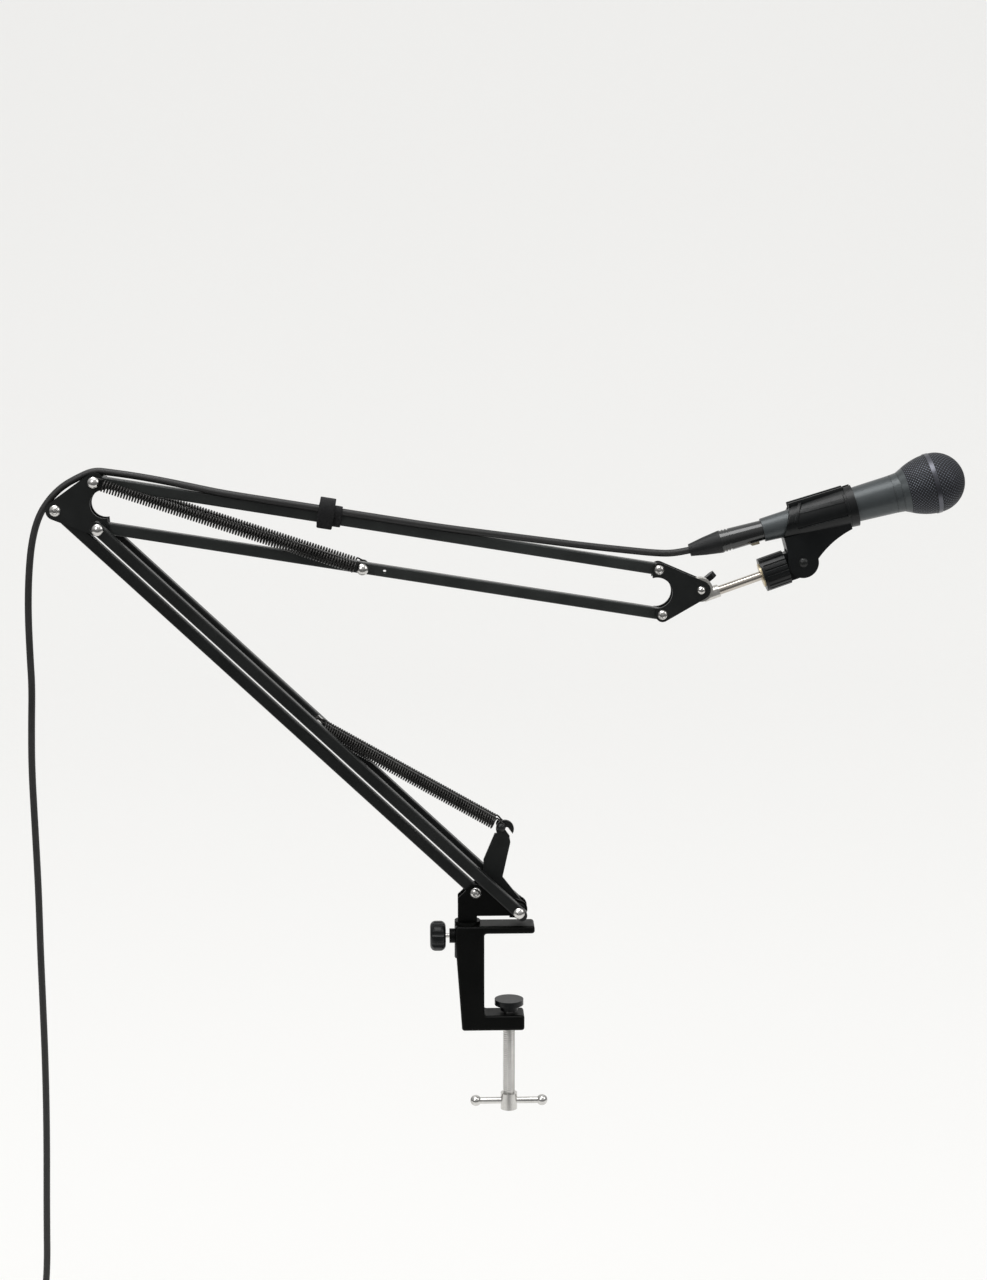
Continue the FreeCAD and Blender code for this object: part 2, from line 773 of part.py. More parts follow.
pieces["elbow_plate_front"] = elbow_plate()
pieces["elbow_plate_back"] = mirrored(pieces["elbow_plate_front"])
pieces["elbow_link_pin"] = rivet(elbow_link, plate_outer)
pieces["elbow_arm_pin"] = rivet(elbow_arm, pair_outer + side_clearance)
pieces["elbow_top_pin"] = rivet(elbow_top, spring_loop_outer)
pieces["elbow_bushes"] = both_sides(
    washer(elbow_arm, pin_radius + fit_clearance, bush_radius, -plate_outer - bush_length, -plate_outer))
pieces["elbow_spring_sleeves"] = both_sides(
    washer(elbow_top, pin_radius + fit_clearance, sleeve_radius, -spring_loop_inner, -plate_outer))


# Upper arm

spare_hole = polar(upper_bolt, bolt_spare_hole, -upper_arm_drop)
pieces["upper_bar_top"] = square_tube(elbow_top, head_top, 0,
                                      [(elbow_top, pivot_hole), (head_top, pivot_hole)])
pieces["upper_bar_bottom"] = square_tube(
    elbow_arm, head_bottom, 0,
    [(elbow_arm, pivot_hole), (head_bottom, pivot_hole), (upper_bolt, bolt_hole),
     (spare_hole, spare_hole_radius)])
pieces["upper_spring_bolt"] = rivet(upper_bolt, spring_loop_outer)
pieces["upper_spring_sleeves"] = both_sides(
    washer(upper_bolt, pin_radius + fit_clearance, sleeve_radius, -spring_loop_inner, -bar_depth / 2))


# Springs

def spring(name, start, finish, finish_radius, y):
    """A tension spring between a bolt and a pin of this radius, with an open loop round each."""
    axis = (space(finish) - space(start)).normalize()
    across = ALONG_Y
    up = axis.cross(across)
    length = (space(finish) - space(start)).Length
    first_radius = pin_radius + spring_loop_clearance + spring_wire / 2
    last_radius = finish_radius + spring_loop_clearance + spring_wire / 2
    middle = Vec(0, y, 0)
    coiled = length - first_radius - last_radius - 2 * spring_lead
    pitch = coiled / spring_turns

    def on_loop(center, loop, outward, angle):
        """A station of the round loop: at angle 0 it leaves towards the coil along outward."""
        turn = math.radians(angle)
        place = center + up * (loop * math.cos(turn)) - outward * (loop * math.sin(turn))
        heading = outward * math.cos(turn) + up * math.sin(turn)
        return (place + middle, heading)

    def on_coil(turns):
        """A station of the coil after so many turns."""
        turn = 2 * math.pi * turns
        around = up * math.cos(turn) + across * math.sin(turn)
        place = space(start) + axis * (first_radius + spring_lead + pitch * turns) + around * spring_radius
        sideways = across * math.cos(turn) - up * math.sin(turn)
        heading = sideways * spring_radius + axis * (pitch / (2 * math.pi))
        return (place + middle, heading.normalize())

    first_loop = [on_loop(space(start), first_radius, axis, angle) for angle in loop_angles]
    last_loop = [on_loop(space(finish), last_radius, axis * -1, angle) for angle in loop_angles]
    last_loop = [(place, heading * -1) for place, heading in reversed(last_loop)]
    coil = [on_coil(quarter / 2 + coil_lead_turns) for quarter in range(2 * spring_turns)]
    stub = first_loop[0][0] - first_loop[0][1] * spring_wire
    tail = last_loop[-1][0] + last_loop[-1][1] * spring_wire
    stations = [(stub, first_loop[0][1])] + first_loop + coil + last_loop + [(tail, last_loop[-1][1])]
    return wound(name, stations, spring_wire)


loop_angles = [255.0, 170.0, 85.0, 0]
coil_lead_turns = 0.25
for side_name, side in (("front", -1), ("back", 1)):
    node = "lower_spring_" + side_name
    pieces[node] = spring(node, lower_bolt, anchor_point, anchor_pin_radius, side * lower_spring_offset)
    node = "upper_spring_" + side_name
    pieces[node] = spring(node, elbow_top, upper_bolt, pin_radius, side * upper_spring_offset)


# Head

def head_plate():
    """The front head plate with the notch between its two bars."""
    middle = ((head_top[0] + head_bottom[0]) / 2, (head_top[1] + head_bottom[1]) / 2)
    notch = polar(middle, head_notch_offset, 180.0 + bar_lean)
    circles = [(head_bottom, head_lobe), (head_tip, head_tip_lobe), (head_top, head_lobe)]
    return notched(circles, notch, head_notch_radius)


def head_bolt():
    """The bolt of the head joint: a domed head at the front, its thread through the wing nut."""
    tail = plate_outer + side_clearance + wing_hub_length
    cap = turned(dome(bolt_head_radius, bolt_head_height, plate_outer), ALONG_Y, ALONG_X)
    cap.translate(space(head_tip))
    return cross_rod(head_tip, pin_radius, -plate_outer, tail).fuse(mirrored(cap)).removeSplitter()


def wing_nut():
    """The wing nut behind the head."""
    seat = plate_outer + side_clearance
    hub = cross_rod((0, 0), wing_hub_radius, seat, seat + wing_hub_length)
    half = wing_thickness / 2
    ear_low = seat + wing_hub_length - wing_height + wing_thickness
    ear_top = seat + wing_hub_length + wing_thickness
    ears = Part.makeBox(2 * (wing_reach - wing_height / 2), ear_top - ear_low, wing_thickness,
                        Vec(wing_height / 2 - wing_reach, ear_low, -half))
    tips = [Part.makeCylinder((ear_top - ear_low) / 2, wing_thickness,
                              Vec(side * (wing_reach - wing_height / 2), (ear_top + ear_low) / 2, -half))
            for side in (-1, 1)]
    nut = hub.fuse([ears] + tips).removeSplitter()
    nut = nut.cut(cross_rod((0, 0), pin_radius + running_clearance, seat - overrun, ear_top + overrun))
    return settle(nut, head_tip, wing_turn)


def knuckle():
    """The eye between the head plates, with the neck that holds the threaded stud."""
    half = bar_depth / 2
    eye = cross_rod(head_tip, knuckle_radius, -half, half)
    neck = Part.makeCylinder(knuckle_neck_radius, knuckle_neck_reach, ORIGIN, ALONG_X)
    neck = settle(neck, stud_foot, stud_rise)
    slab = Part.makeBox(2 * upper_arm_length, 2 * half, 2 * upper_arm_length,
                        Vec(-upper_arm_length, -half, -upper_arm_length))
    body = eye.fuse(neck.common(slab)).removeSplitter()
    socket = Part.makeCylinder(stud_radius + fit_clearance, stud_socket + overrun,
                               Vec(knuckle_neck_reach - stud_socket, 0, 0), ALONG_X)
    body = body.cut(settle(socket, stud_foot, stud_rise))
    return bore(body, head_tip, pin_radius + running_clearance)


clip_face = clip_pivot_reach - clip_base_gap - clip_base_length


def stud():
    """The threaded stud from the knuckle into the clip."""
    start = knuckle_neck_reach - stud_socket
    finish = clip_face + stud_grip
    rod = Part.makeCylinder(stud_radius, finish - start, Vec(start, 0, 0), ALONG_X)
    return settle(rod, stud_foot, stud_rise)


pieces["head_plate_front"] = head_plate()
pieces["head_plate_back"] = mirrored(pieces["head_plate_front"])
pieces["head_pins"] = Part.makeCompound([rivet(point, plate_outer, head=head_rivet_radius)
                                         for point in (head_top, head_bottom)])
pieces["head_bolt"] = head_bolt()
pieces["wing_nut"] = wing_nut()
pieces["head_knuckle"] = knuckle()
pieces["mic_stud"] = stud()


# Microphone clip

def clip_base():
    """The ribbed base that screws onto the stud, with the tongue of the clip's hinge."""
    end = clip_face + clip_base_length
    body = turned([(clip_face, 0), (clip_face, clip_base_radius), (end, clip_base_radius), (end, 0)])
    for index in range(clip_ribs):
        turn = 2 * math.pi * index / clip_ribs
        side = clip_base_radius * math.cos(turn)
        rise = clip_base_radius * math.sin(turn)
        start = Vec(clip_face + clip_rib_margin, side, rise)
        body = body.cut(Part.makeCylinder(clip_rib_radius, clip_base_length, start, ALONG_X))
    half = clip_tongue_depth / 2
    tongue = prism(hull([((end - clip_base_gap, 0), clip_tongue_radius),
                         ((clip_pivot_reach, 0), clip_tongue_radius)]), -half, half)
    body = body.fuse(tongue.cut(prism([(0, -clip_base_radius), (end - clip_rib_radius, -clip_base_radius),
                                       (end - clip_rib_radius, clip_base_radius), (0, clip_base_radius)],
                                      -clip_tongue_depth, clip_tongue_depth)))
    socket = Part.makeCylinder(insert_radius + fit_clearance, insert_length + overrun,
                               Vec(clip_face - overrun, 0, 0), ALONG_X)
    body = body.cut(socket).removeSplitter()
    body = bore(body, (clip_pivot_reach, 0), clip_screw_radius + running_clearance)
    return settle(body, stud_foot, stud_rise)


def thread_insert():
    """The brass adapter in the clip's mouth, with its flange against the face."""
    hole = stud_radius + fit_clearance
    ring = turned([(-insert_flange_thickness, hole), (-insert_flange_thickness, insert_flange_radius),
                   (0, insert_flange_radius), (0, insert_radius), (insert_length, insert_radius),
                   (insert_length, hole)])
    ring.translate(Vec(clip_face, 0, 0))
    return settle(ring, stud_foot, stud_rise)


def mic_radius(place):
    """The radius of the microphone's handle at a place behind its collar."""
    if place < mic_grip_start:
        share = place / mic_grip_start
        return mic_tail_radius + share * (mic_grip_radius - mic_tail_radius)
    share = (place - mic_grip_start) / (mic_waist_place - mic_grip_start)
    return mic_grip_radius + share * (mic_waist_radius - mic_grip_radius)


def sleeve(start, finish, inner, outer):
    """A tapered sleeve that follows the handle from start to finish, from inner to outer off its surface."""
    return turned([(start, mic_radius(start) + inner), (start, mic_radius(start) + outer),
                   (finish, mic_radius(finish) + outer), (finish, mic_radius(finish) + inner)])


def clip_holder():
    """The springy holder round the handle, with its front ring, side ribs, neck and hinge ears."""
    pivot = (mic_pivot_behind, -mic_pivot_below)
    wide = clip_tongue_depth / 2 + side_clearance
    body = sleeve(holder_rear_bottom, holder_front, fit_clearance, fit_clearance + holder_wall)
    front_rib = sleeve(holder_front - holder_ring_length, holder_front, fit_clearance,
                       fit_clearance + holder_wall + holder_ring_rise)
    ear = clip_ear_radius
    rear = holder_rear_bottom + fit_clearance
    front = (pivot[0] + neck_front_reach, -neck_front_drop)
    bend = (pivot[0] + neck_mid_reach, -neck_mid_drop)
    neck = prism([(rear, -mic_tail_radius), (rear, pivot[1] + ear), (pivot[0] - ear, pivot[1]),
                  (pivot[0], pivot[1] - ear, pivot[0] + ear, pivot[1]),
                  bend + front, (front[0], -mic_tail_radius)],
                 -wide - clip_ear_thickness, wide + clip_ear_thickness)
    body = body.fuse([front_rib, neck])
    low = holder_rear_top + holder_rib_width
    high = holder_front - holder_ring_length - holder_rib_width
    rib = sleeve(low, high, fit_clearance, fit_clearance + holder_wall + holder_rib_rise)
    band = Part.makeBox(high - low, 4 * clip_base_radius, holder_rib_width,
                        Vec(low, -2 * clip_base_radius, mic_tail_radius - holder_rib_width))
    body = body.fuse(rib.common(band))
    ends = (-overrun, mic_grip_start, holder_front + overrun)
    wall = [(place, mic_radius(place) + fit_clearance) for place in ends]
    room = turned([(ends[0], 0)] + wall + [(ends[-1], 0)])
    tall = 2 * mic_rim_radius
    slot = Part.makeBox(holder_front + 2 * overrun, holder_slot, tall, Vec(0, -holder_slot / 2, 0))
    rear_cut = prism([(-overrun, tall), (-overrun, -mic_tail_radius), (holder_rear_bottom, -mic_tail_radius),
                      (holder_rear_top, mic_grip_radius + holder_wall), (holder_rear_top, tall)], -tall, tall)
    hinge = cross_rod(pivot, clip_ear_radius + clip_slot_margin, -wide, wide)
    back = 180.0 + stud_rise - mic_tilt
    sweep = (back - clip_swing_back, back, back + clip_swing_down)
    sector = [polar(pivot, clip_swing_radius, angle) for angle in sweep]
    swing = prism([pivot, sector[0], sector[1] + sector[2]], -wide, wide)
    body = body.cut([room, slot, rear_cut, hinge, swing]).removeSplitter()
    body = bore(body, pivot, clip_screw_radius + fit_clearance)
    return settle(body, mic_tail, mic_tilt)


clip_screw_seat = clip_tongue_depth / 2 + side_clearance + clip_ear_thickness
pieces["clip_base"] = clip_base()
pieces["thread_insert"] = thread_insert()
pieces["clip_holder"] = clip_holder()
pieces["clip_screw"] = rivet(clip_pivot, clip_screw_seat, clip_screw_radius, clip_screw_head_radius,
                             clip_screw_head_height)


# Microphone

def groove(place):
    """A ring cut into the handle at this place."""
    radius = mic_collar_radius + overrun
    depth = mic_groove_radius + (mic_collar_radius - mic_groove_radius) * (place - mic_groove_place) / (
        mic_collar_place - mic_groove_place) - mic_groove_depth
    ring = ring_around(radius, depth, mic_groove_width)
    ring.translate(Vec(place, 0, 0))
    return ring


def mic_handle():
    """The hollow handle with its tail socket and its flared rim."""
    body = turned([(0, 0), (0, mic_tail_radius), (mic_grip_start, mic_grip_radius),
                   (mic_waist_place, mic_waist_radius), (mic_groove_place, mic_groove_radius),
                   (mic_collar_place, mic_collar_radius), (mic_rim_place, mic_rim_radius), (mic_rim_place, 0)])
    tail = turned([(-overrun, 0), (-overrun, mic_tail_bore), (mic_tail_bore_depth, mic_tail_bore),
                   (mic_tail_bore_depth, mic_shelf_bore - mic_wall),
                   (mic_tail_bore_depth + mic_wall, mic_shelf_bore),
                   (mic_shelf_place, mic_shelf_bore), (mic_shelf_place, mic_front_bore),
                   (mic_rim_place + overrun, mic_front_bore), (mic_rim_place + overrun, 0)])
    body = body.cut([tail, groove(mic_groove_place), groove(mic_collar_place - mic_groove_width)])
    return settle(body, mic_tail, mic_tilt)


def grille_lower():
    """The lower basket of the grille, from the rim out to the band."""
    wall = grille_wall
    body = turned([(mic_rim_place, mic_rim_radius - wall), (mic_rim_place, mic_rim_radius),
                   (grille_bulge_place, grille_bulge_radius, band_place, band_radius),
                   (band_place, band_radius - wall),
                   (grille_bulge_place, grille_bulge_radius - wall, mic_rim_place, mic_rim_radius - wall)])
    return settle(body, mic_tail, mic_tilt)


def grille_band():
    """The raised band round the widest part of the grille."""
    ring = ring_around(band_radius + band_rise, band_radius - grille_wall, band_length)
    ring.translate(Vec(band_place, 0, 0))
    return settle(ring, mic_tail, mic_tilt)


def grille_upper():
    """The domed front of the grille."""
    start = band_place + band_length
    height = mic_length - start
    hollow = turned(dome(band_radius - grille_wall, height - grille_wall, start))
    body = turned(dome(band_radius, height, start)).cut(hollow)
    return settle(body, mic_tail, mic_tilt)


def pin_places():
    """The places of the three connector pins round the axis."""
    return [(connector_pin_circle * math.cos(turn), connector_pin_circle * math.sin(turn))
            for turn in (math.radians(angle) for angle in (-90.0, 30.0, 150.0))]


def mic_connector():
    """The connector in the handle's tail, with its three pins."""
    start = mic_tail_bore_depth - connector_length
    disc = turned([(start, 0), (start, mic_tail_bore - fit_clearance),
                   (mic_tail_bore_depth, mic_tail_bore - fit_clearance), (mic_tail_bore_depth, 0)])
    pins = [Part.makeCylinder(connector_pin_radius, connector_pin_length, Vec(start, y, z), ALONG_X * -1)
            for y, z in pin_places()]
    return settle(disc.fuse(pins).removeSplitter(), mic_tail, mic_tilt)


def mic_capsule():
    """The capsule that stands on the shelf inside the handle's rim."""
    body = Part.makeCylinder(capsule_radius, capsule_length, Vec(mic_shelf_place, 0, 0), ALONG_X)
    return settle(body, mic_tail, mic_tilt)


pieces["mic_handle"] = mic_handle()
pieces["mic_grille_lower"] = grille_lower()
pieces["mic_grille_band"] = grille_band()
pieces["mic_grille_upper"] = grille_upper()
pieces["mic_capsule"] = mic_capsule()
pieces["mic_connector"] = mic_connector()


# Plug at the microphone

boot_end = -plug_length
shell_start = plug_boot_length - plug_length
latch_start = -latch_length - side_clearance


def plug_shell():
    """The plug's shell with its grip rings, latch slot and nose."""
    nose = mic_tail_bore - fit_clearance
    body = turned([(shell_start, 0), (shell_start, plug_radius), (0, plug_front_radius),
                   (0, nose), (plug_nose_length, nose), (plug_nose_length, 0)])
    for index in range(plug_rings):
        floor = plug_radius - plug_ring_depth - index * plug_ring_depth / plug_rings
        ring = ring_around(plug_radius + overrun, floor, plug_ring_width)
        ring.translate(Vec(shell_start + plug_ring_width * (2 * index + 1), 0, 0))
        body = body.cut(ring)
    for y, z in pin_places():
        body = body.cut(Part.makeCylinder(connector_pin_radius + plug_pin_clearance, plug_nose_length,
                                          Vec(plug_nose_length - connector_pin_length, y, z), ALONG_X))
    depth = latch_inner - latch_travel - 2 * side_clearance
    slot = Part.makeBox(latch_length + 2 * side_clearance, latch_width + 2 * side_clearance, plug_radius,
                        Vec(latch_start - side_clearance - latch_length / 2, -latch_width / 2 - side_clearance,
                            -depth - plug_radius))
    return settle(body.cut(slot).removeSplitter(), mic_tail, mic_tilt)


def plug_boot():
    """The flexible boot round the cable."""
    waist = boot_end + plug_boot_waist_share * plug_boot_length
    body = turned([(boot_end, 0), (boot_end, plug_boot_end_radius), (waist, plug_boot_waist_radius),
                   (shell_start, plug_radius), (shell_start, 0)])
    return settle(body, mic_tail, mic_tilt)


def plug_latch():
    """The press lever of the plug's latch, in its slot below the plug."""
    low = plug_front_radius + latch_rise
    start = latch_start - latch_length / 2
    lever = Part.makeBox(latch_length, latch_width, low - latch_inner, Vec(start, -latch_width / 2, -low))
    nose = prism([(start + latch_length / 2, -low - overrun), (start - overrun, -low - overrun),
                  (start - overrun, -latch_inner - latch_rise / 2), (start, -latch_inner - latch_rise / 2)],
                 -latch_width, latch_width)
    return settle(lever.cut(nose), mic_tail, mic_tilt)


pieces["plug_shell"] = plug_shell()
pieces["plug_boot"] = plug_boot()
pieces["plug_latch"] = plug_latch()


# Cable

def over_bar(place, height):
    """A point over the top bar, from its distance along the bar and its height off the bar's middle."""
    point = polar(polar(elbow_top, place, -upper_arm_drop), height, 90.0 - upper_arm_drop)
    return space(point)


def coil_radius_drop(turns):
    """How far the coil has come in from its outer radius after so many turns, and its layer."""
    reversal = round(turns / coil_turns_per_pass)
    off = turns - reversal * coil_turns_per_pass
    travel = abs(off)
    inner = 0 < reversal < coil_passes
    if inner and travel < coil_climb:
        travel = (travel ** 2 + coil_climb ** 2) / (2 * coil_climb)
    if reversal % 2:
        travel = coil_turns_per_pass - travel
    layer = min(int(turns / coil_turns_per_pass), coil_passes - 1)
    if inner and abs(off) < coil_climb:
        share = (off + coil_climb) / (2 * coil_climb)
        layer = reversal - 1 + share ** 2 * (3 - 2 * share)
    return travel * coil_pitch, layer * coil_pitch


def coil_station(turns):
    """A station of the put-away coil after so many turns."""
    def place(amount):
        drop, depth = coil_radius_drop(amount)
        return space(polar(coil_center, coil_outer_radius - drop, coil_start_angle - 360.0 * amount), depth)

    turn_step = 1 / 2000
    ahead = min(turns + turn_step, coil_turns)
    behind = max(turns - turn_step, 0)
    return (place(turns), (place(ahead) - place(behind)).normalize())


coil_turns = coil_turns_per_pass * coil_passes
coil_steps = int(coil_turns * 8)
coil_stations = [coil_station(coil_turns * step / coil_steps) for step in range(coil_steps + 1)]
coil_first, coil_heading = coil_stations[0]
coil_last, coil_leaving = coil_stations[-1]
coil_entry = coil_first - coil_heading * cable_diameter
coil_exit = coil_last + coil_leaving * coil_tail

boot_place = polar(mic_tail, boot_end, mic_tilt)
split = over_bar(*bar_route[-1])
bar_points = [space(boot_place)] + [over_bar(*pair) for pair in bar_route]
hang_points = [split] + [space(pair) for pair in hang_route]
hang_points += [coil_entry - coil_heading * coil_lead_run, coil_entry - coil_heading * side_clearance]
for route in (bar_points, hang_points):
    route[0] = route[0] + (route[1] - route[0]).normalize() * side_clearance


def tie_band(y_half, z_low, z_high, wall_y, wall_z, width):
    """A strap along X round a bundle of this section."""
    outside = rounded_box(y_half + wall_y, z_low - wall_z, z_high + wall_z, tie_corner, width)
    inside = rounded_box(y_half, z_low, z_high, tie_corner / 2, width + overrun)
    return outside.cut(inside)


def cable_tie():
    """The strap that holds the cable on the top bar."""
    low = -bar_width / 2 - fit_clearance
    high = bar_width / 2 + cable_diameter + 4 * side_clearance
    band = tie_band(bar_depth / 2 + fit_clearance, low, high, tie_side_wall, tie_wall, tie_width)
    return settle(band, polar(elbow_top, tie_place, -upper_arm_drop), -upper_arm_drop)


def coil_tie():
    """The strap round one side of the put-away coil."""
    inner = coil_outer_radius - coil_turns_per_pass * coil_pitch
    depth = (coil_passes - 1) * coil_pitch
    low = inner - cable_radius - coil_pitch / 2
    high = coil_outer_radius + cable_radius + coil_pitch / 2
    band = tie_band(depth / 2 + cable_radius + fit_clearance, low, high, coil_tie_wall, coil_tie_wall,
                    coil_tie_width)
    band = settle(band, coil_center, coil_tie_turn)
    band.translate(Vec(0, depth / 2, 0))
    return band


def far_plug():
    """The plug at the cable's far end: its boot, and its shell with the open sleeve and three pins."""
    bottom = plug_length + far_sleeve_length
    boot = turned([(0, 0), (0, plug_boot_end_radius),
                   (plug_boot_waist_share * plug_boot_length, plug_boot_waist_radius),
                   (plug_boot_length, plug_radius), (plug_boot_length, 0)])
    shell = turned([(plug_boot_length, 0), (plug_boot_length, plug_radius), (plug_length, plug_front_radius),
                    (bottom, plug_front_radius), (bottom, plug_front_radius - far_sleeve_wall),
                    (plug_length, plug_front_radius - far_sleeve_wall), (plug_length, 0)])
    pins = [Part.makeCylinder(connector_pin_radius, connector_pin_length, Vec(plug_length, y, z), ALONG_X)
            for y, z in pin_places()]
    both = []
    for piece in (boot, shell.fuse(pins).removeSplitter()):
        piece.rotate(ORIGIN, ALONG_X.cross(coil_leaving), math.degrees(ALONG_X.getAngle(coil_leaving)))
        piece.translate(coil_exit + coil_leaving * side_clearance)
        both.append(piece)
    return Part.makeCompound(both)


pieces["cable_run"] = corded("cable_run", bar_points, cable_diameter)
pieces["cable_hang"] = corded("cable_hang", hang_points, cable_diameter)
coil_line = [(coil_entry, coil_heading)] + coil_stations + [(coil_exit, coil_leaving)]
pieces["cable_coil"] = wound("cable_coil", coil_line, cable_diameter)
pieces["cable_tie"] = cable_tie()
pieces["coil_tie"] = coil_tie()
pieces["far_plug"] = far_plug()

for node, shape in pieces.items():
    shape.exportStep("parts/" + node + ".step")
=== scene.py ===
import json
import math

import bpy
from mathutils import Matrix, Vector


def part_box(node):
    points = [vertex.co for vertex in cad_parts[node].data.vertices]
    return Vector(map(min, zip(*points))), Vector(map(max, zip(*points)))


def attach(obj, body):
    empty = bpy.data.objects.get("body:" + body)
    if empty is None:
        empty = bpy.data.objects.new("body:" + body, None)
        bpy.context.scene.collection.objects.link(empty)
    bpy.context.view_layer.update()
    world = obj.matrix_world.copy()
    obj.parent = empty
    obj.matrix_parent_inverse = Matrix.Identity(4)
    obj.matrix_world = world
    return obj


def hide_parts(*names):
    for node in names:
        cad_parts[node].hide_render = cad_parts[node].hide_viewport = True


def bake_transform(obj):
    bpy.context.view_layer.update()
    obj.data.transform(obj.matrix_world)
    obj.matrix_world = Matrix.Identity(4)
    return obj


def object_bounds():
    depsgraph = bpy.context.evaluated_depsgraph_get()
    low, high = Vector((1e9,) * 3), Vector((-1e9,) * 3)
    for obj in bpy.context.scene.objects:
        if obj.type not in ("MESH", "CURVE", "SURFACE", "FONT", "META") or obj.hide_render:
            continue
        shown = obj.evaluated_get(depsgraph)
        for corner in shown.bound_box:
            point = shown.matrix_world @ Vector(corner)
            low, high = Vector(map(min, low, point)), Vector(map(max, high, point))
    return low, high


# Desk boom arm with its microphone and cable: the looks, in metres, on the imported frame.
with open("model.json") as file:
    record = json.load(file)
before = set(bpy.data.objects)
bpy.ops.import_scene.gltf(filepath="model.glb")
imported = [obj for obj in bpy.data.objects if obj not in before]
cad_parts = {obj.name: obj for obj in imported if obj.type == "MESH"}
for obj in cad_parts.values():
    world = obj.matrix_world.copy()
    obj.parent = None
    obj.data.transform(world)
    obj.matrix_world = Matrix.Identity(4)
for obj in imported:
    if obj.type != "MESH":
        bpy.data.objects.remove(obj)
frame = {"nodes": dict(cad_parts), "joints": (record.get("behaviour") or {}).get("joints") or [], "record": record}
cad_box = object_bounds()
nodes = frame["nodes"]
pivot = {joint["name"]: Vector(joint["pos_m"]) for joint in frame["joints"] if joint.get("pos_m")}
UP = Vector((0, 0, 1))
ACROSS = Vector((0, 1, 0))


def middle(node):
    """The middle of a CAD node's box."""
    low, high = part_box(node)
    return (Vector(low) + Vector(high)) / 2


elbow_top = pivot["upper_tilt"]
elbow_low = pivot["elbow_level"]
elbow_link = middle("elbow_link_pin")
head_top = pivot["head_level"]
head_low = head_top + elbow_low - elbow_top
base_link = pivot["link_tilt"]
bar_way = (head_top - elbow_top).normalized()
bar_up = bar_way.cross(ACROSS)
mic_tilt = math.radians(15.3)
mic_way = Vector((math.cos(mic_tilt), 0, math.sin(mic_tilt)))
mic_up = Vector((-math.sin(mic_tilt), 0, math.cos(mic_tilt)))
mic_tail = Vector((0.22128, 0, 0.36028))


def on_mic(along, across=0.0, above=0.0):
    """A point by its distance along the microphone from its tail, across it and above its axis."""
    return mic_tail + mic_way * along + ACROSS * across + mic_up * above


# Camera

FOCAL_PIXELS, PHOTO_HEIGHT, SENSOR = 2506.2, 1280.0, 36.0
camera_data = bpy.data.cameras.new("photo_camera")
camera_data.sensor_width = SENSOR
camera_data.lens = FOCAL_PIXELS * SENSOR / PHOTO_HEIGHT
camera_data.clip_end = 50.0
camera = bpy.data.objects.new("photo_camera", camera_data)
bpy.context.scene.collection.objects.link(camera)
aim = Vector((-0.01398, 0, 0.26417))
azimuth, elevation, distance = math.radians(-2.0), math.radians(10.0), 2.2
camera.location = aim + distance * Vector((math.sin(azimuth) * math.cos(elevation),
                                           -math.cos(azimuth) * math.cos(elevation), math.sin(elevation)))
camera.rotation_euler = (aim - camera.location).to_track_quat("-Z", "Y").to_euler()
bpy.context.scene.camera = camera


# Working by hand

def pick(*objs):
    """Selects these objects alone, the first one active."""
    if bpy.context.object and bpy.context.object.mode != "OBJECT":
        bpy.ops.object.mode_set(mode="OBJECT")
    bpy.ops.object.select_all(action="DESELECT")
    for obj in objs:
        obj.select_set(True)
    bpy.context.view_layer.objects.active = objs[0]


def named(name, look):
    """Names the active object and gives it its finish."""
    obj = bpy.context.object
    obj.name = name
    obj.data.name = name
    obj.data.materials.clear()
    obj.data.materials.append(look)
    return obj


def settle(obj):
    """Puts an object's place into its mesh."""
    pick(obj)
    bpy.ops.object.transform_apply(location=True, rotation=True, scale=True)
    return obj


def apply_all(obj):
    """Applies an object's modifiers in their order."""
    pick(obj)
    for modifier in list(obj.modifiers):
        bpy.ops.object.modifier_apply(modifier=modifier.name)
    return obj


def choose(obj, test, kind="FACE"):
    """Enters edit mode with the faces, edges or vertices that pass the test selected."""
    pick(obj)
    bpy.ops.object.mode_set(mode="EDIT")
    bpy.ops.mesh.select_mode(type=kind)
    bpy.ops.mesh.select_all(action="DESELECT")
    bpy.ops.object.mode_set(mode="OBJECT")
    parts = {"FACE": obj.data.polygons, "EDGE": obj.data.edges, "VERT": obj.data.vertices}[kind]
    for part in parts:
        part.select = test(part)
    bpy.ops.object.mode_set(mode="EDIT")


def tidy(obj):
    """Merges doubles and turns the faces outwards."""
    pick(obj)
    bpy.ops.object.mode_set(mode="EDIT")
    bpy.ops.mesh.select_all(action="SELECT")
    bpy.ops.mesh.remove_doubles(threshold=0.00001)
    bpy.ops.mesh.normals_make_consistent(inside=False)
    bpy.ops.object.mode_set(mode="OBJECT")
    return obj


def smooth(obj, angle=35.0):
    """Smooth shading that keeps edges sharper than the angle."""
    pick(obj)
    bpy.ops.object.shade_smooth_by_angle(angle=math.radians(angle))
    return obj


def tube(name, points, radius, look, rounds=2):
    """A round tube along points, as a mesh."""
    line = bpy.data.curves.new(name, "CURVE")
    line.dimensions = "3D"
    line.bevel_depth = radius
    line.bevel_resolution = rounds
    line.use_fill_caps = True
    run = line.splines.new("POLY")
    run.points.add(len(points) - 1)
    for place, point in zip(run.points, points):
        place.co = (*point, 1.0)
    obj = bpy.data.objects.new(name, line)
    bpy.context.scene.collection.objects.link(obj)
    pick(obj)
    bpy.ops.object.convert(target="MESH")
    obj = named(name, look)
    bpy.ops.object.shade_smooth()
    return obj


# Finishes

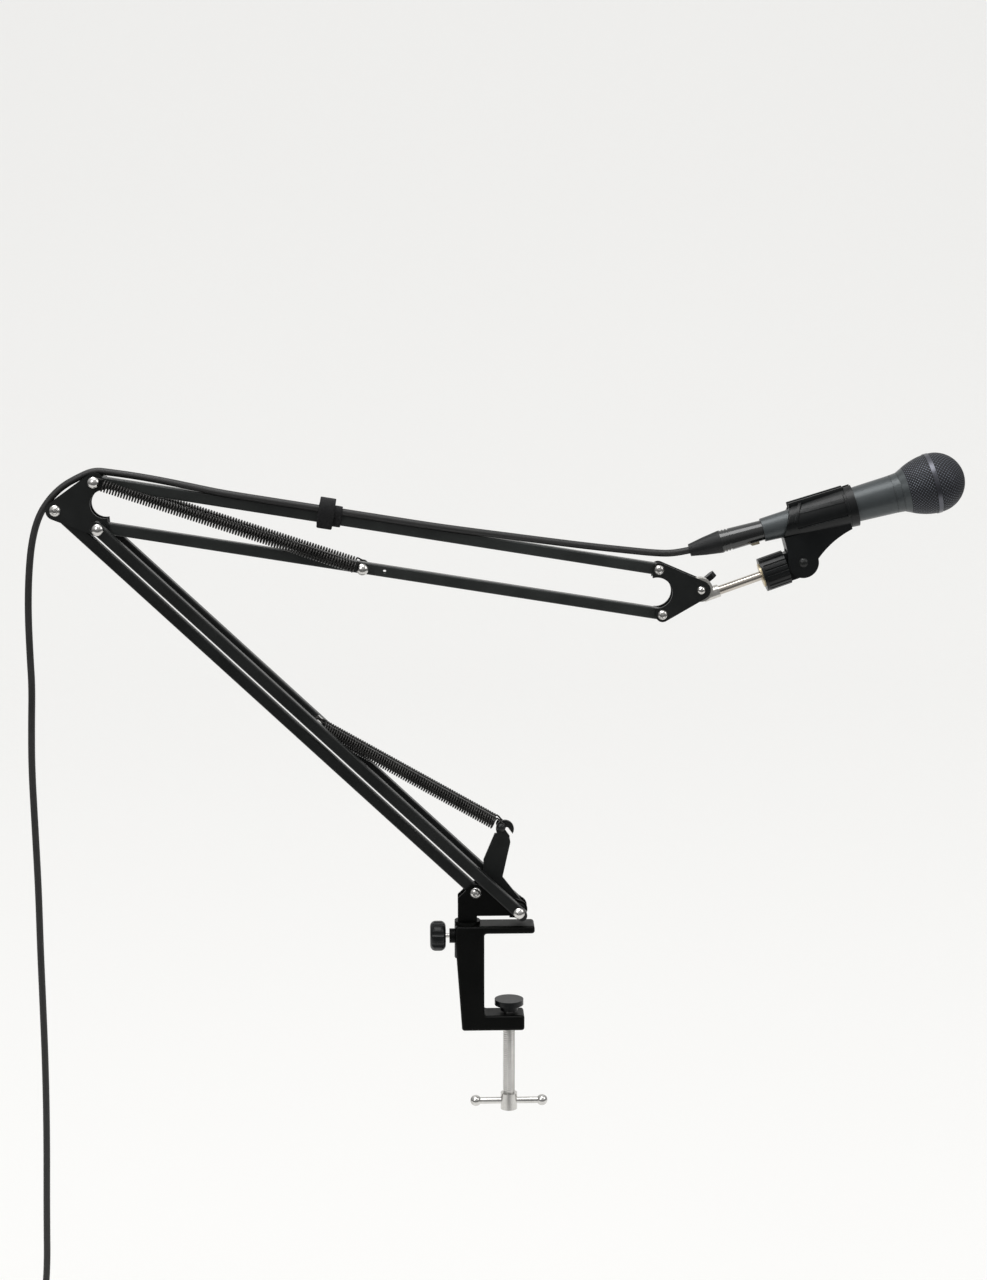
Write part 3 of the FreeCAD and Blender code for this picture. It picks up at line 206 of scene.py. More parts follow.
def shader_group(name, inputs, outputs):
    """An empty shader node group with these named sockets."""
    group = bpy.data.node_groups.new(name, "ShaderNodeTree")
    for label, kind, value in inputs:
        socket = group.interface.new_socket(label, in_out="INPUT", socket_type=kind)
        if value is not None:
            socket.default_value = value
    for label, kind in outputs:
        group.interface.new_socket(label, in_out="OUTPUT", socket_type=kind)
    group.nodes.new("NodeGroupInput")
    group.nodes.new("NodeGroupOutput")
    return group


class Nodes:
    """Adds and joins the nodes of one tree."""

    def __init__(self, tree):
        self.tree = tree

    def add(self, kind, settings=None, **inputs):
        """A new node with these settings and inputs."""
        node = self.tree.nodes.new(kind)
        for label, value in (settings or {}).items():
            setattr(node, label, value)
        for label, value in inputs.items():
            self.put(node, label, value)
        return node

    def put(self, node, label, value):
        """Joins or sets an input, by its name with _ for spaces or by i and its number."""
        if label[0] == "i" and label[1:].isdigit():
            socket = node.inputs[int(label[1:])]
        else:
            names = [socket.name for socket in node.inputs]
            socket = node.inputs[names.index(label.replace("_", " "))]
        if isinstance(value, bpy.types.NodeSocket):
            self.tree.links.new(value, socket)
        else:
            socket.default_value = value

    def math(self, operation, first, second=0.0):
        return self.add("ShaderNodeMath", {"operation": operation}, i0=first, i1=second).outputs[0]

    def noise(self, vector, scale, detail=2.0, roughness=0.5):
        return self.add("ShaderNodeTexNoise", None, Vector=vector, Scale=scale, Detail=detail,
                        Roughness=roughness).outputs["Fac"]

    def spread(self, value, low, high, to_low=0.0, to_high=1.0):
        node = self.add("ShaderNodeMapRange", {"clamp": True}, i0=value, i1=low, i2=high,
                        i3=to_low, i4=to_high)
        return node.outputs[0]

    def tint(self, factor, first, second):
        node = self.add("ShaderNodeMix", {"data_type": "RGBA"}, i0=factor, i6=first, i7=second)
        return node.outputs[2]


def start_material(name):
    """A new material with its node helper, its shader and the object's own coordinates."""
    material = bpy.data.materials.new(name)
    material.use_nodes = True
    work = Nodes(material.node_tree)
    place = work.add("ShaderNodeTexCoord").outputs["Object"]
    return material, work, material.node_tree.nodes["Principled BSDF"], place


def make_grain():
    """Fine moulded or sprayed grain: its height, and slow patches over the surface."""
    group = shader_group("fine_grain",
                         [("Vector", "NodeSocketVector", None), ("Scale", "NodeSocketFloat", 900.0),
                          ("Patch Scale", "NodeSocketFloat", 30.0)],
                         [("Height", "NodeSocketFloat"), ("Patch", "NodeSocketFloat")])
    work = Nodes(group)
    given, out = group.nodes["Group Input"].outputs, group.nodes["Group Output"]
    coarse = work.noise(given["Vector"], given["Scale"], 1.0)
    fine = work.noise(given["Vector"], work.math("MULTIPLY", given["Scale"], 2.7), 2.0)
    height = work.math("ADD", work.math("MULTIPLY", coarse, 0.6), work.math("MULTIPLY", fine, 0.4))
    group.links.new(height, out.inputs["Height"])
    patch = work.noise(given["Vector"], given["Patch Scale"], 4.0, 0.6)
    group.links.new(work.spread(patch, 0.3, 0.7), out.inputs["Patch"])
    return group


def make_scuffs():
    """Sparse fine scuffs from handling, as a mask."""
    group = shader_group("handling_scuffs",
                         [("Vector", "NodeSocketVector", None), ("Scale", "NodeSocketFloat", 160.0),
                          ("Amount", "NodeSocketFloat", 0.5)],
                         [("Mask", "NodeSocketFloat")])
    work = Nodes(group)
    given, out = group.nodes["Group Input"].outputs, group.nodes["Group Output"]
    stretched = work.add("ShaderNodeMapping", None, Vector=given["Vector"], Scale=(1.0, 3.0, 9.0),
                         Rotation=(0.3, 0.7, 0.2)).outputs[0]
    lines = work.noise(stretched, given["Scale"], 3.0, 0.6)
    where = work.noise(given["Vector"], work.math("MULTIPLY", given["Scale"], 0.22), 2.0)
    mask = work.math("MULTIPLY", work.spread(lines, 0.62, 0.72), work.spread(where, 0.5, 0.62))
    group.links.new(work.math("MULTIPLY", mask, given["Amount"]), out.inputs["Mask"])
    return group


grain_group = make_grain()
scuff_group = make_scuffs()


def finish(name, dark, light, rough, metal=0.0, grain=900.0, patch=30.0, bump=0.00003, scuff=0.3,
           scuff_tint=None, sockets=None):
    """A surface between two close colours with grain, slow patches and light scuffs."""
    material, work, shader, place = start_material(name)
    surface = work.add("ShaderNodeGroup", {"node_tree": grain_group}, Vector=place, Scale=grain,
                       Patch_Scale=patch)
    scuffs = work.add("ShaderNodeGroup", {"node_tree": scuff_group}, Vector=place, Amount=scuff)
    marks = scuffs.outputs["Mask"]
    colour = work.tint(surface.outputs["Patch"], (*dark, 1.0), (*light, 1.0))
    worn = scuff_tint or tuple(min(1.0, value * 2.2 + 0.01) for value in light)
    work.put(shader, "Base_Color", work.tint(marks, colour, (*worn, 1.0)))
    work.put(shader, "Roughness", work.math("ADD", work.spread(surface.outputs["Patch"], 0.0, 1.0, *rough),
                                            work.math("MULTIPLY", marks, 0.12)))
    work.put(shader, "Metallic", metal)
    for label, value in (sockets or {}).items():
        work.put(shader, label, value)
    work.put(shader, "Normal", work.add("ShaderNodeBump", None, Strength=1.0, Distance=bump,
                                        Height=surface.outputs["Height"]).outputs[0])
    return material


GRILLE_MIDDLE, GRILLE_COLUMNS, GRILLE_ROWS = on_mic(0.1485), 48.0, 56.0


def make_grille():
    """Woven wire over the microphone's ball: rows round its axis, lighter where the wires cross."""
    material, work, shader, place = start_material("woven_grille")
    moved = work.add("ShaderNodeVectorMath", {"operation": "SUBTRACT"}, i0=place, i1=tuple(GRILLE_MIDDLE))
    turned = work.add("ShaderNodeVectorRotate", {"rotation_type": "Y_AXIS"}, Vector=moved.outputs[0],
                      Angle=mic_tilt).outputs[0]
    axes = work.add("ShaderNodeSeparateXYZ", None, Vector=turned).outputs
    around = work.math("ARCTAN2", axes[1], axes[2])
    girth = work.math("SQRT", work.math("ADD", work.math("MULTIPLY", axes[1], axes[1]),
                                        work.math("MULTIPLY", axes[2], axes[2])))
    down = work.math("ARCTAN2", girth, axes[0])
    columns = work.math("SINE", work.math("MULTIPLY", around, GRILLE_COLUMNS))
    rows = work.math("SINE", work.math("MULTIPLY", down, GRILLE_ROWS))
    shifted = work.math("COSINE", work.math("MULTIPLY", around, GRILLE_COLUMNS))
    over = work.math("MULTIPLY", columns, rows)
    knot = work.spread(over, 0.1, 0.75)
    gap = work.spread(work.math("MULTIPLY", shifted, rows), -1.0, 1.0)
    speck = work.noise(place, 220.0, 2.0)
    colour = work.tint(knot, (0.004, 0.0046, 0.0066, 1.0), (0.115, 0.125, 0.15, 1.0))
    colour = work.tint(work.math("MULTIPLY", speck, 0.25), colour, (0.016, 0.0175, 0.022, 1.0))
    work.put(shader, "Base_Color", colour)
    work.put(shader, "Roughness", work.spread(knot, 0.0, 1.0, 0.62, 0.36))
    work.put(shader, "Metallic", work.spread(knot, 0.0, 1.0, 0.2, 0.75))
    height = work.math("ADD", knot, work.math("MULTIPLY", gap, 0.3))
    work.put(shader, "Normal", work.add("ShaderNodeBump", None, Strength=0.9, Distance=0.0003,
                                        Height=height).outputs[0])
    return material


def make_strap():
    """Woven strap: fine diagonal threads with a soft nap."""
    material, work, shader, place = start_material("woven_strap")
    leaned = work.add("ShaderNodeMapping", None, Vector=place, Rotation=(0.0, math.radians(90.0), 0.0))
    threads = [work.add("ShaderNodeTexWave", {"wave_type": "BANDS", "bands_direction": "DIAGONAL"}, Vector=way,
                        Scale=420.0, Distortion=0.6, Detail=1.0).outputs["Fac"]
               for way in (place, leaned.outputs[0])]
    weave = work.math("MAXIMUM", *threads)
    nap = work.noise(place, 2600.0, 3.0)
    colour = work.tint(work.math("MULTIPLY", weave, nap), (0.0035, 0.0035, 0.0038, 1.0),
                       (0.016, 0.016, 0.0168, 1.0))
    work.put(shader, "Base_Color", colour)
    work.put(shader, "Roughness", work.spread(nap, 0.3, 0.7, 0.7, 0.88))
    work.put(shader, "Specular_IOR_Level", 0.3)
    work.put(shader, "Sheen_Weight", 0.06)
    height = work.math("ADD", weave, work.math("MULTIPLY", nap, 0.6))
    work.put(shader, "Normal", work.add("ShaderNodeBump", None, Strength=0.8, Distance=0.0003,
                                        Height=height).outputs[0])
    return material


paint = finish("black_paint", (0.0058, 0.0066, 0.0063), (0.0098, 0.0108, 0.0104), (0.32, 0.42),
               grain=1500.0, patch=26.0, bump=0.000012, scuff=0.2, sockets={"Specular_IOR_Level": 0.36})
# The upper bars' copy of the black paint is lighter: painted light where the light from above falls on them.
bar_paint_painted_light = finish("bar_paint_painted_light", (0.0145, 0.0163, 0.0154), (0.0228, 0.0252, 0.024), (0.28, 0.38),
                   grain=1500.0, patch=26.0, bump=0.00001, scuff=0.2, sockets={"Specular_IOR_Level": 0.4})
# The clamp's, post's and base plates' copy of the black paint is darker and less glossy: painted shade.
clamp_paint_painted_shade = finish("clamp_paint_painted_shade", (0.0016, 0.0018, 0.0015), (0.0028, 0.003, 0.0026), (0.36, 0.48),
                     grain=900.0, patch=24.0, bump=0.00002, scuff=0.14,
                     sockets={"Specular_IOR_Level": 0.1})
spring_wire = finish("spring_wire", (0.02, 0.0194, 0.0186), (0.046, 0.0446, 0.0426), (0.2, 0.3),
                     metal=0.8, grain=2600.0, patch=60.0, bump=0.000006, scuff=0.15)
nickel = finish("bright_nickel", (0.55, 0.54, 0.52), (0.7, 0.69, 0.67), (0.16, 0.26),
                metal=1.0, grain=1400.0, patch=140.0, bump=0.000005, scuff=0.12,
                scuff_tint=(0.45, 0.44, 0.42))
pale_cast = finish("pale_cast_metal", (0.56, 0.545, 0.51), (0.7, 0.685, 0.65), (0.3, 0.42),
                   metal=0.9, grain=800.0, patch=90.0, bump=0.00002, scuff=0.12,
                   scuff_tint=(0.5, 0.48, 0.45))
stud_steel = finish("turned_stud", (0.47, 0.43, 0.385), (0.58, 0.54, 0.49), (0.16, 0.24),
                    metal=1.0, grain=1800.0, patch=40.0, bump=0.000002, scuff=0.05,
                    scuff_tint=(0.4, 0.37, 0.33))
brass = finish("turned_brass", (0.5, 0.41, 0.26), (0.68, 0.58, 0.4), (0.24, 0.4),
               metal=1.0, grain=1500.0, patch=120.0, bump=0.00002, scuff=0.3)
plastic = finish("moulded_plastic", (0.0036, 0.0042, 0.0044), (0.0064, 0.0073, 0.0077), (0.28, 0.36),
                 grain=2200.0, patch=40.0, bump=0.00001, scuff=0.2, sockets={"Specular_IOR_Level": 0.28})
enamel = finish("handle_enamel", (0.045, 0.052, 0.0545), (0.063, 0.0715, 0.0745), (0.3, 0.38),
                metal=0.35, grain=2600.0, patch=24.0, bump=0.000005, scuff=0.2)
band_metal = finish("grille_band_metal", (0.075, 0.077, 0.09), (0.125, 0.128, 0.145), (0.26, 0.36),
                    metal=0.9, grain=1800.0, patch=60.0, bump=0.00001, scuff=0.3)
foam = finish("capsule_dark", (0.01, 0.01, 0.01), (0.025, 0.025, 0.025), (0.7, 0.85),
              grain=700.0, patch=80.0, bump=0.0002, scuff=0.0)
lacquer = finish("plug_lacquer", (0.005, 0.0055, 0.0053), (0.009, 0.0098, 0.0095), (0.14, 0.22),
                 grain=2000.0, patch=50.0, bump=0.000004, scuff=0.25,
                 sockets={"Coat_Weight": 0.5, "Coat_Roughness": 0.12})
boot_rubber = finish("boot_rubber", (0.0058, 0.0063, 0.0066), (0.0098, 0.0105, 0.011), (0.46, 0.58),
                     grain=1600.0, patch=60.0, bump=0.00004, scuff=0.15,
                     sockets={"Specular_IOR_Level": 0.3})
latch_metal = finish("latch_metal", (0.62, 0.54, 0.38), (0.8, 0.72, 0.55), (0.22, 0.34),
                     metal=1.0, grain=1500.0, patch=150.0, bump=0.00001, scuff=0.3)
rubber = finish("cable_rubber", (0.011, 0.0108, 0.0105), (0.0185, 0.018, 0.0175), (0.46, 0.58),
                grain=1900.0, patch=35.0, bump=0.00003, scuff=0.2)
grille_weave = make_grille()
strap_weave = make_strap()

slot_finish = {"black_paint": paint, "spring_steel": spring_wire, "bright_steel": nickel,
               "pale_metal": pale_cast, "brass": brass, "black_plastic": plastic, "mic_body": enamel,
               "mic_mesh": grille_weave, "mic_band": band_metal, "mic_inside": foam, "plug_body": lacquer,
               "boot_rubber": boot_rubber, "latch_metal": latch_metal, "cable_rubber": rubber,
               "strap": strap_weave}
# The clamp, post and base plates take the darker copy of the black paint: painted shade.
# The upper bars take the lighter copy of the black paint: painted light.
own_finish = {"mic_stud": stud_steel, "clamp_frame": clamp_paint_painted_shade, "swivel_post": clamp_paint_painted_shade,
              "base_plate_front": clamp_paint_painted_shade, "base_plate_back": clamp_paint_painted_shade,
              "upper_bar_top": bar_paint_painted_light, "upper_bar_bottom": bar_paint_painted_light}
for part in frame["record"]["subparts"]:
    node = nodes[part["node"]]
    for place in node.material_slots:
        place.material = own_finish.get(part["node"], slot_finish[part["material_slot"]])


# Cable

CABLE = 0.0062
COIL_MIDDLE = (-0.4286, -0.4221)
COIL_RADIUS, COIL_PITCH, COIL_PASS, COIL_PASSES, COIL_CLIMB = 0.040, 0.0068, 2.03125, 4, 0.25
COIL_POINTS, COIL_SLICE = 20, 0.002
LEAD_IN, LEAD_OUT = (0.0402, 0.0065), (0.018, 0.0362)
# Where its pieces part: lengths from the boot, then distances from the elbow rivet
BOOT_BEND, BOLT_BEND, HEAD_BEND = 0.022, 0.033, 0.066
LIFT_OFF, PAST_ELBOW = 0.052, 0.030
run_route = [(0.1605, 0, 0.3437), (0.1576, 0, 0.3429), (0.1413, 0, 0.34), (0.125, 0, 0.3408),
             (0.1052, 0, 0.3429), (0.07, 0, 0.3468), (0.0351, -0.0008, 0.3514), (-0.0003, -0.0026, 0.3564),
             (-0.031, -0.0052, 0.3608), (-0.0656, -0.0068, 0.3658), (-0.11, -0.0068, 0.373),
             (-0.1594, -0.0068, 0.381), (-0.2087, -0.0068, 0.389), (-0.2482, -0.0066, 0.3954),
             (-0.2727, -0.0042, 0.4004), (-0.2992, -0.0018, 0.4058), (-0.3248, 0, 0.4102)]
hang_route = [(-0.3452, 0, 0.4131), (-0.359, 0, 0.4149), (-0.3735, 0, 0.4085), (-0.3868, 0, 0.401),
              (-0.3985, 0, 0.3895), (-0.408, 0, 0.3745), (-0.4143, 0, 0.353), (-0.4178, 0, 0.324),
              (-0.4194, 0, 0.29), (-0.4188, 0, 0.25), (-0.418, 0, 0.225), (-0.4196, 0, 0.19),
              (-0.4206, 0, 0.1505), (-0.4193, 0, 0.0961), (-0.4181, 0, 0.0413), (-0.4181, 0, -0.014),
              (-0.4176, 0, -0.0558), (-0.417, 0, -0.12), (-0.4178, 0, -0.1877), (-0.4202, 0, -0.2626),
              (-0.4214, 0, -0.3221)]


def ease(share):
    """A smooth step from 0 to 1."""
    return share * share * (3 - 2 * share)


def coil_point(turns):
    """A point of the put-away coil, so many turns from its outer start."""
    change = round(turns / COIL_PASS)
    off = turns - change * COIL_PASS
    travel = abs(off)
    between = 0 < change < COIL_PASSES
    if between and travel < COIL_CLIMB:
        travel = (travel ** 2 + COIL_CLIMB ** 2) / (2 * COIL_CLIMB)
    if change % 2:
        travel = COIL_PASS - travel
    layer = min(int(turns / COIL_PASS), COIL_PASSES - 1)
    if between and abs(off) < COIL_CLIMB:
        share = (off + COIL_CLIMB) / (2 * COIL_CLIMB)
        layer = change - 1 + ease(share)
    radius = COIL_RADIUS - travel * COIL_PITCH
    angle = math.radians(45.0) - 2 * math.pi * turns
    return Vector((COIL_MIDDLE[0] + radius * math.cos(angle), layer * COIL_PITCH,
                   COIL_MIDDLE[1] + radius * math.sin(angle)))


def follow(controls, detail):
    """The points of the smooth line that these route points steer."""
    line = bpy.data.curves.new("route", "CURVE")
    line.dimensions = "3D"
    line.resolution_u = detail
    run = line.splines.new("NURBS")
    run.points.add(len(controls) - 1)
    for place, point in zip(run.points, controls):
        place.co = (*point, 1.0)
    run.order_u = 3
    run.use_endpoint_u = True
    obj = bpy.data.objects.new("route", line)
    bpy.context.scene.collection.objects.link(obj)
    mesh = bpy.data.meshes.new_from_object(obj)
    points = [vertex.co.copy() for vertex in mesh.vertices]
    bpy.data.objects.remove(obj)
    bpy.data.meshes.remove(mesh)
    return points


def length_of(points):
    """The length of a line through points."""
    return sum((after - before).length for before, after in zip(points, points[1:]))


def stretch_of(points, start, stop):
    """The part of a line between two lengths along it."""
    part, gone = [], 0.0
    for before, after in zip(points, points[1:]):
        step = (after - before).length
        for mark in (start, stop):
            if gone <= mark < gone + step:
                part.append(before.lerp(after, (mark - gone) / step))
        if start < gone + step < stop:
            part.append(after)
        gone += step
    if stop >= gone:
        part.append(points[-1])
    return part


coil_turns = COIL_PASS * COIL_PASSES
coil_start = coil_point(0.0)
coil_in = (coil_point(COIL_SLICE) - coil_start).normalized()
coil_stop = coil_point(coil_turns)
coil_out = (coil_stop - coil_point(coil_turns - COIL_SLICE)).normalized()
coil_marks = int(coil_turns * COIL_POINTS)
steering = [Vector(point) for point in run_route + hang_route]
steering += [coil_start - coil_in * reach for reach in LEAD_IN]
steering += [coil_point(coil_turns * mark / coil_marks) for mark in range(coil_marks + 1)]
steering += [coil_stop + coil_out * reach for reach in LEAD_OUT]
cable_line = follow(steering, 6)
cable_length = length_of(cable_line)


def reach_along(test):
    """The length along the cable at which its line first passes the test."""
    gone = 0.0
    for before, after in zip(cable_line, cable_line[1:]):
        if test(after):
            return gone
        gone += (after - before).length
    return gone


lift_off = reach_along(lambda p: (p - elbow_top).dot(bar_way) < LIFT_OFF)
past_elbow = reach_along(lambda p: p.x < elbow_top.x - PAST_ELBOW)
marks = [0.0, BOOT_BEND, BOLT_BEND, HEAD_BEND, lift_off, past_elbow, cable_length]
cable_bodies = [("clip", "knuckle"), ("knuckle", "head"), ("head", "upper_top"), ("upper_top",),
                ("upper_top", "elbow"), ("elbow",)]
cable_names = ["cable_at_boot", "cable_at_head_bolt", "cable_at_head", "cable_on_bar", "cable_over_elbow",
               "cable_hanging"]
cable_pieces, cable_paths = [], []
for name, low, high, bodies in zip(cable_names, marks, marks[1:], cable_bodies):
    path = stretch_of(cable_line, low, high)
    piece = tube(name, path, CABLE / 2, rubber, 3)
    if len(bodies) == 2:
        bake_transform(piece)
    else:
        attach(piece, bodies[0])
    cable_pieces.append(piece)
    cable_paths.append(path)
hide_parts("cable_run")
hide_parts("cable_hang", "cable_coil")


# Tension springs

SPRING_WIRE, SPRING_LEAD = 0.00155, 0.003
LOOP_POINTS, LOOP_STEP, LEAD_POINTS, TURN_POINTS = 18, math.radians(15.0), 5, 16


def spring_line(held, bolt, held_loop, bolt_loop, side, radius, pitch):
    """The wire's line from the loop round the held pin to the loop round the bolt."""
    way = (bolt - held).normalized()
    up = way.cross(ACROSS) * math.copysign(1.0, way.x)
    off = ACROSS * side
    coil_from = held_loop + SPRING_LEAD
    coil_to = (bolt - held).length - bolt_loop - SPRING_LEAD
    turns = round((coil_to - coil_from) / pitch)
    points = []
    for step in range(LOOP_POINTS, 0, -1):
        turn = step * LOOP_STEP
        points.append(held + off + up * held_loop * math.cos(turn) - way * held_loop * math.sin(turn))
    for step in range(LEAD_POINTS):
        share = step / LEAD_POINTS
        rise = held_loop + (radius - held_loop) * ease(share)
        points.append(held + off + way * coil_from * share + up * rise)
    for step in range(turns * TURN_POINTS + 1):
        turn = 2 * math.pi * step / TURN_POINTS
        along = coil_from + (coil_to - coil_from) * step / (turns * TURN_POINTS)
        points.append(held + off + way * along + (up * math.cos(turn) + ACROSS * math.sin(turn)) * radius)
    for step in range(LEAD_POINTS):
        share = 1 - (step + 1) / LEAD_POINTS
        rise = bolt_loop + (radius - bolt_loop) * ease(share)
        points.append(bolt + off - way * (bolt_loop + SPRING_LEAD) * share + up * rise)
    for step in range(1, LOOP_POINTS + 1):
        turn = step * LOOP_STEP
        points.append(bolt + off + up * bolt_loop * math.cos(turn) + way * bolt_loop * math.sin(turn))
    return points


def lay_spring(name, held, bolt, held_loop, bolt_loop, side, radius, pitch, cuts, node):
    """One spring, laid as a row of separate stretches."""
    line = spring_line(held, bolt, held_loop, bolt_loop, side, radius, pitch)
    way = bolt - held
    shares = [(point - held).dot(way) / way.length_squared for point in line]
    ends = [0] + [next(i for i, share in enumerate(shares) if share > cut) for cut in cuts]
    ends.append(len(line) - 1)
    for index, (first, last) in enumerate(zip(ends, ends[1:])):
        piece = tube(f"{name}_{index + 1}", line[first:last + 1], SPRING_WIRE / 2, spring_wire)
        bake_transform(piece)
        if index == 0:
            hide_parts(node)


anchor = middle("anchor_pin")
lower_bolt = middle("lower_spring_bolt")
upper_bolt = middle("upper_spring_bolt")
for point in (anchor, lower_bolt, upper_bolt, elbow_link):
    point.y = 0.0
for side_name, side in (("front", -1), ("back", 1)):
    lay_spring("lower_spring_wire_" + side_name, anchor, lower_bolt, held_loop=0.00345, bolt_loop=0.00395,
               side=side * 0.0062, radius=0.0051, pitch=0.00228,
               cuts=[0.06, 0.12, 0.24, 0.46], node="lower_spring_" + side_name)
    lay_spring("upper_spring_wire_" + side_name, elbow_top, upper_bolt, held_loop=0.00395, bolt_loop=0.00395,
               side=side * 0.013, radius=0.0048, pitch=0.00252,
               cuts=[0.05, 0.1, 0.2, 0.45], node="upper_spring_" + side_name)


# Straps

STRAP_STRIPS, RIB_EDGE, TIE_THICKNESS = 6, 0.00025, 0.0011
COIL_STRAP_WIDTH, COIL_STRAP_THICKNESS = 0.016, 0.0012


def chain(name, points, look):
    """A row of edges drawn point by point from one vertex."""
    bpy.ops.object.select_all(action="DESELECT")
    bpy.ops.mesh.primitive_plane_add(size=0.001, location=points[0])
    obj = named(name, look)
    bpy.ops.object.mode_set(mode="EDIT")
    bpy.ops.mesh.select_all(action="SELECT")
    bpy.ops.mesh.merge(type="CENTER")
    bpy.ops.mesh.select_mode(type="VERT")
    for before, after in zip(points, points[1:]):
        bpy.ops.mesh.extrude_region_move(TRANSFORM_OT_translate={"value": tuple(after - before)})
    bpy.ops.object.mode_set(mode="OBJECT")
    return settle(obj)


def strap(name, points, width_way, width, thickness, look, crisp=False):
    """A strap along points, as wide as given: soft with rounded edges, or crisp as a moulded rib."""
    obj = chain(name, [point - width_way * width / 2 for point in points], look)
    pick(obj)
    bpy.ops.object.mode_set(mode="EDIT")
    bpy.ops.mesh.select_all(action="SELECT")
    strip = tuple(width_way * width / STRAP_STRIPS)
    for number in range(STRAP_STRIPS):
        bpy.ops.mesh.extrude_region_move(TRANSFORM_OT_translate={"value": strip})
    bpy.ops.object.mode_set(mode="OBJECT")
    tidy(obj)
    wall = obj.modifiers.new("wall", "SOLIDIFY")
    wall.thickness = thickness
    wall.offset = 0.0
    if crisp:
        edge = obj.modifiers.new("edge", "BEVEL")
        edge.width = RIB_EDGE
        edge.segments = 2
    else:
        soft = obj.modifiers.new("soft", "SUBSURF")
        soft.levels = soft.render_levels = 2
    apply_all(obj)
    return smooth(tidy(obj), 40.0)


tie_middle = elbow_top + bar_way * (middle("cable_tie") - elbow_top).dot(bar_way)
# The strap's two layers in millimetres across and above the bar
tie_inner = [(1.5, 8.8), (-2.8, 11.0), (-7.0, 12.2), (-10.6, 10.4), (-11.0, 6.4), (-8.8, 3.0), (-6.4, 1.4),
             (-6.1, -4.6), (-4.6, -6.4), (0.0, -6.6), (4.6, -6.4), (6.1, -4.6), (6.1, 0.0), (6.1, 4.2),
             (5.2, 6.6), (3.4, 9.6)]
tie_outer = [(6.9, 3.0), (6.0, 8.2), (4.0, 12.6), (0.8, 16.4), (-3.4, 17.4), (-8.2, 15.8), (-11.4, 12.0),
             (-12.3, 7.0), (-10.8, 2.2), (-8.6, -2.2), (-7.4, -6.2), (-6.4, -9.8)]


def tie_strap(name, turns, shift, width):
    """One layer of the strap that ties the cable to the bar, through points across and above the bar."""
    line = [tie_middle + bar_way * shift + ACROSS * y / 1000 + bar_up * z / 1000 for y, z in turns]
    layer = strap(name, line, bar_way, width, TIE_THICKNESS, strap_weave)
    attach(layer, "upper_top")
    return layer


cable_strap = tie_strap("cable_strap", tie_inner, shift=0.002, width=0.021)
strap_end = tie_strap("cable_strap_end", tie_outer, shift=-0.0012, width=0.0139)
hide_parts("cable_tie")

coil_low, coil_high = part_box("coil_tie")
near, far, low, high = coil_low.y, coil_high.y, coil_low.z, coil_high.z
bundle = [(near, low + 0.004), (near + 0.003, low), (far - 0.003, low), (far, low + 0.004),
          (far, (low + high) / 2), (far, high - 0.004), (far - 0.003, high), (near + 0.003, high),
          (near, high - 0.004), (near, (low + high) / 2), (near - 0.0012, low + 0.003),
          (near + 0.003, low - 0.0013), (far - 0.006, low - 0.0013)]
coil_across = (coil_low.x + coil_high.x) / 2
coil_strap = strap("coil_strap", [Vector((coil_across, y, z)) for y, z in bundle], Vector((1, 0, 0)),
                   COIL_STRAP_WIDTH, COIL_STRAP_THICKNESS, strap_weave)
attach(coil_strap, "elbow")
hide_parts("coil_tie")


# Rolled rims of the hollow rivets

RIM_RADIUS, RIM_DEPTH, RIM_SEAT = 0.0029, 0.0018, 0.0004
RIM_WALL, RIM_BORE, RIM_ROLL = 0.0011, 0.0012, 0.0004


def rivet_rim(name, apex, out, body):
    """The rolled rim round the hollow end of a rivet, at the top of its head."""
    bpy.ops.object.select_all(action="DESELECT")
    bpy.ops.mesh.primitive_cylinder_add(vertices=36, radius=RIM_RADIUS, depth=RIM_DEPTH,
                                        location=apex - out * RIM_SEAT,
                                        rotation=out.to_track_quat("Z", "Y").to_euler())
    obj = settle(named(name, nickel))
    choose(obj, lambda face: face.normal.dot(out) > 0.9)
    bpy.ops.mesh.inset(thickness=RIM_WALL, depth=0.0)
    bpy.ops.mesh.extrude_region_move(TRANSFORM_OT_translate={"value": tuple(out * -RIM_BORE)})
    bpy.ops.object.mode_set(mode="OBJECT")
    rolled = obj.modifiers.new("rolled", "BEVEL")
    rolled.width = RIM_ROLL
    rolled.segments = 3
    apply_all(obj)
    smooth(tidy(obj), 50.0)
    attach(obj, body)


for node, points, body in (("elbow_link_pin", [elbow_link], "elbow"),
                           ("head_pins", [head_top, head_low], "head"), ("base_link_pin", [base_link], "base")):
    low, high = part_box(node)
    for number, point in enumerate(points):
        for side_name, y, out in (("front", low.y, ACROSS * -1), ("back", high.y, ACROSS)):
            rivet_rim(f"{node}_rim_{number + 1}_{side_name}", Vector((point.x, y, point.z)), out, body)


# Ribs and lips of the clip's holder

GRIP_TAIL, GRIP_BREAK, HOLDER_WALL = 0.01035, 0.0277, 0.00262
TAIL_TAPER, BODY_TAPER = 0.0523, 0.0639
LIP_PLACE, LIP_SIZE = (0.0515, -0.0049, 0.0163), (0.0502, 0.0026, 0.0052)
LIP_DROP, LIP_EDGE = 0.0014, 0.0005
RIB_HEIGHT, RIDGE_HEIGHT, FRONT_RIB = 0.0126, -0.0056, 0.0748
# The slanted strap in millimetres along the microphone and above its axis
SLANT = [(33.4, 14.4), (31.8, 12.4), (29.6, 9.2), (27.6, 5.8), (25.6, 2.4), (24.8, 0.8)]
SLANT_EDGE_SHIFT, SLANT_EDGE_LIFT = 3.2, 0.0004


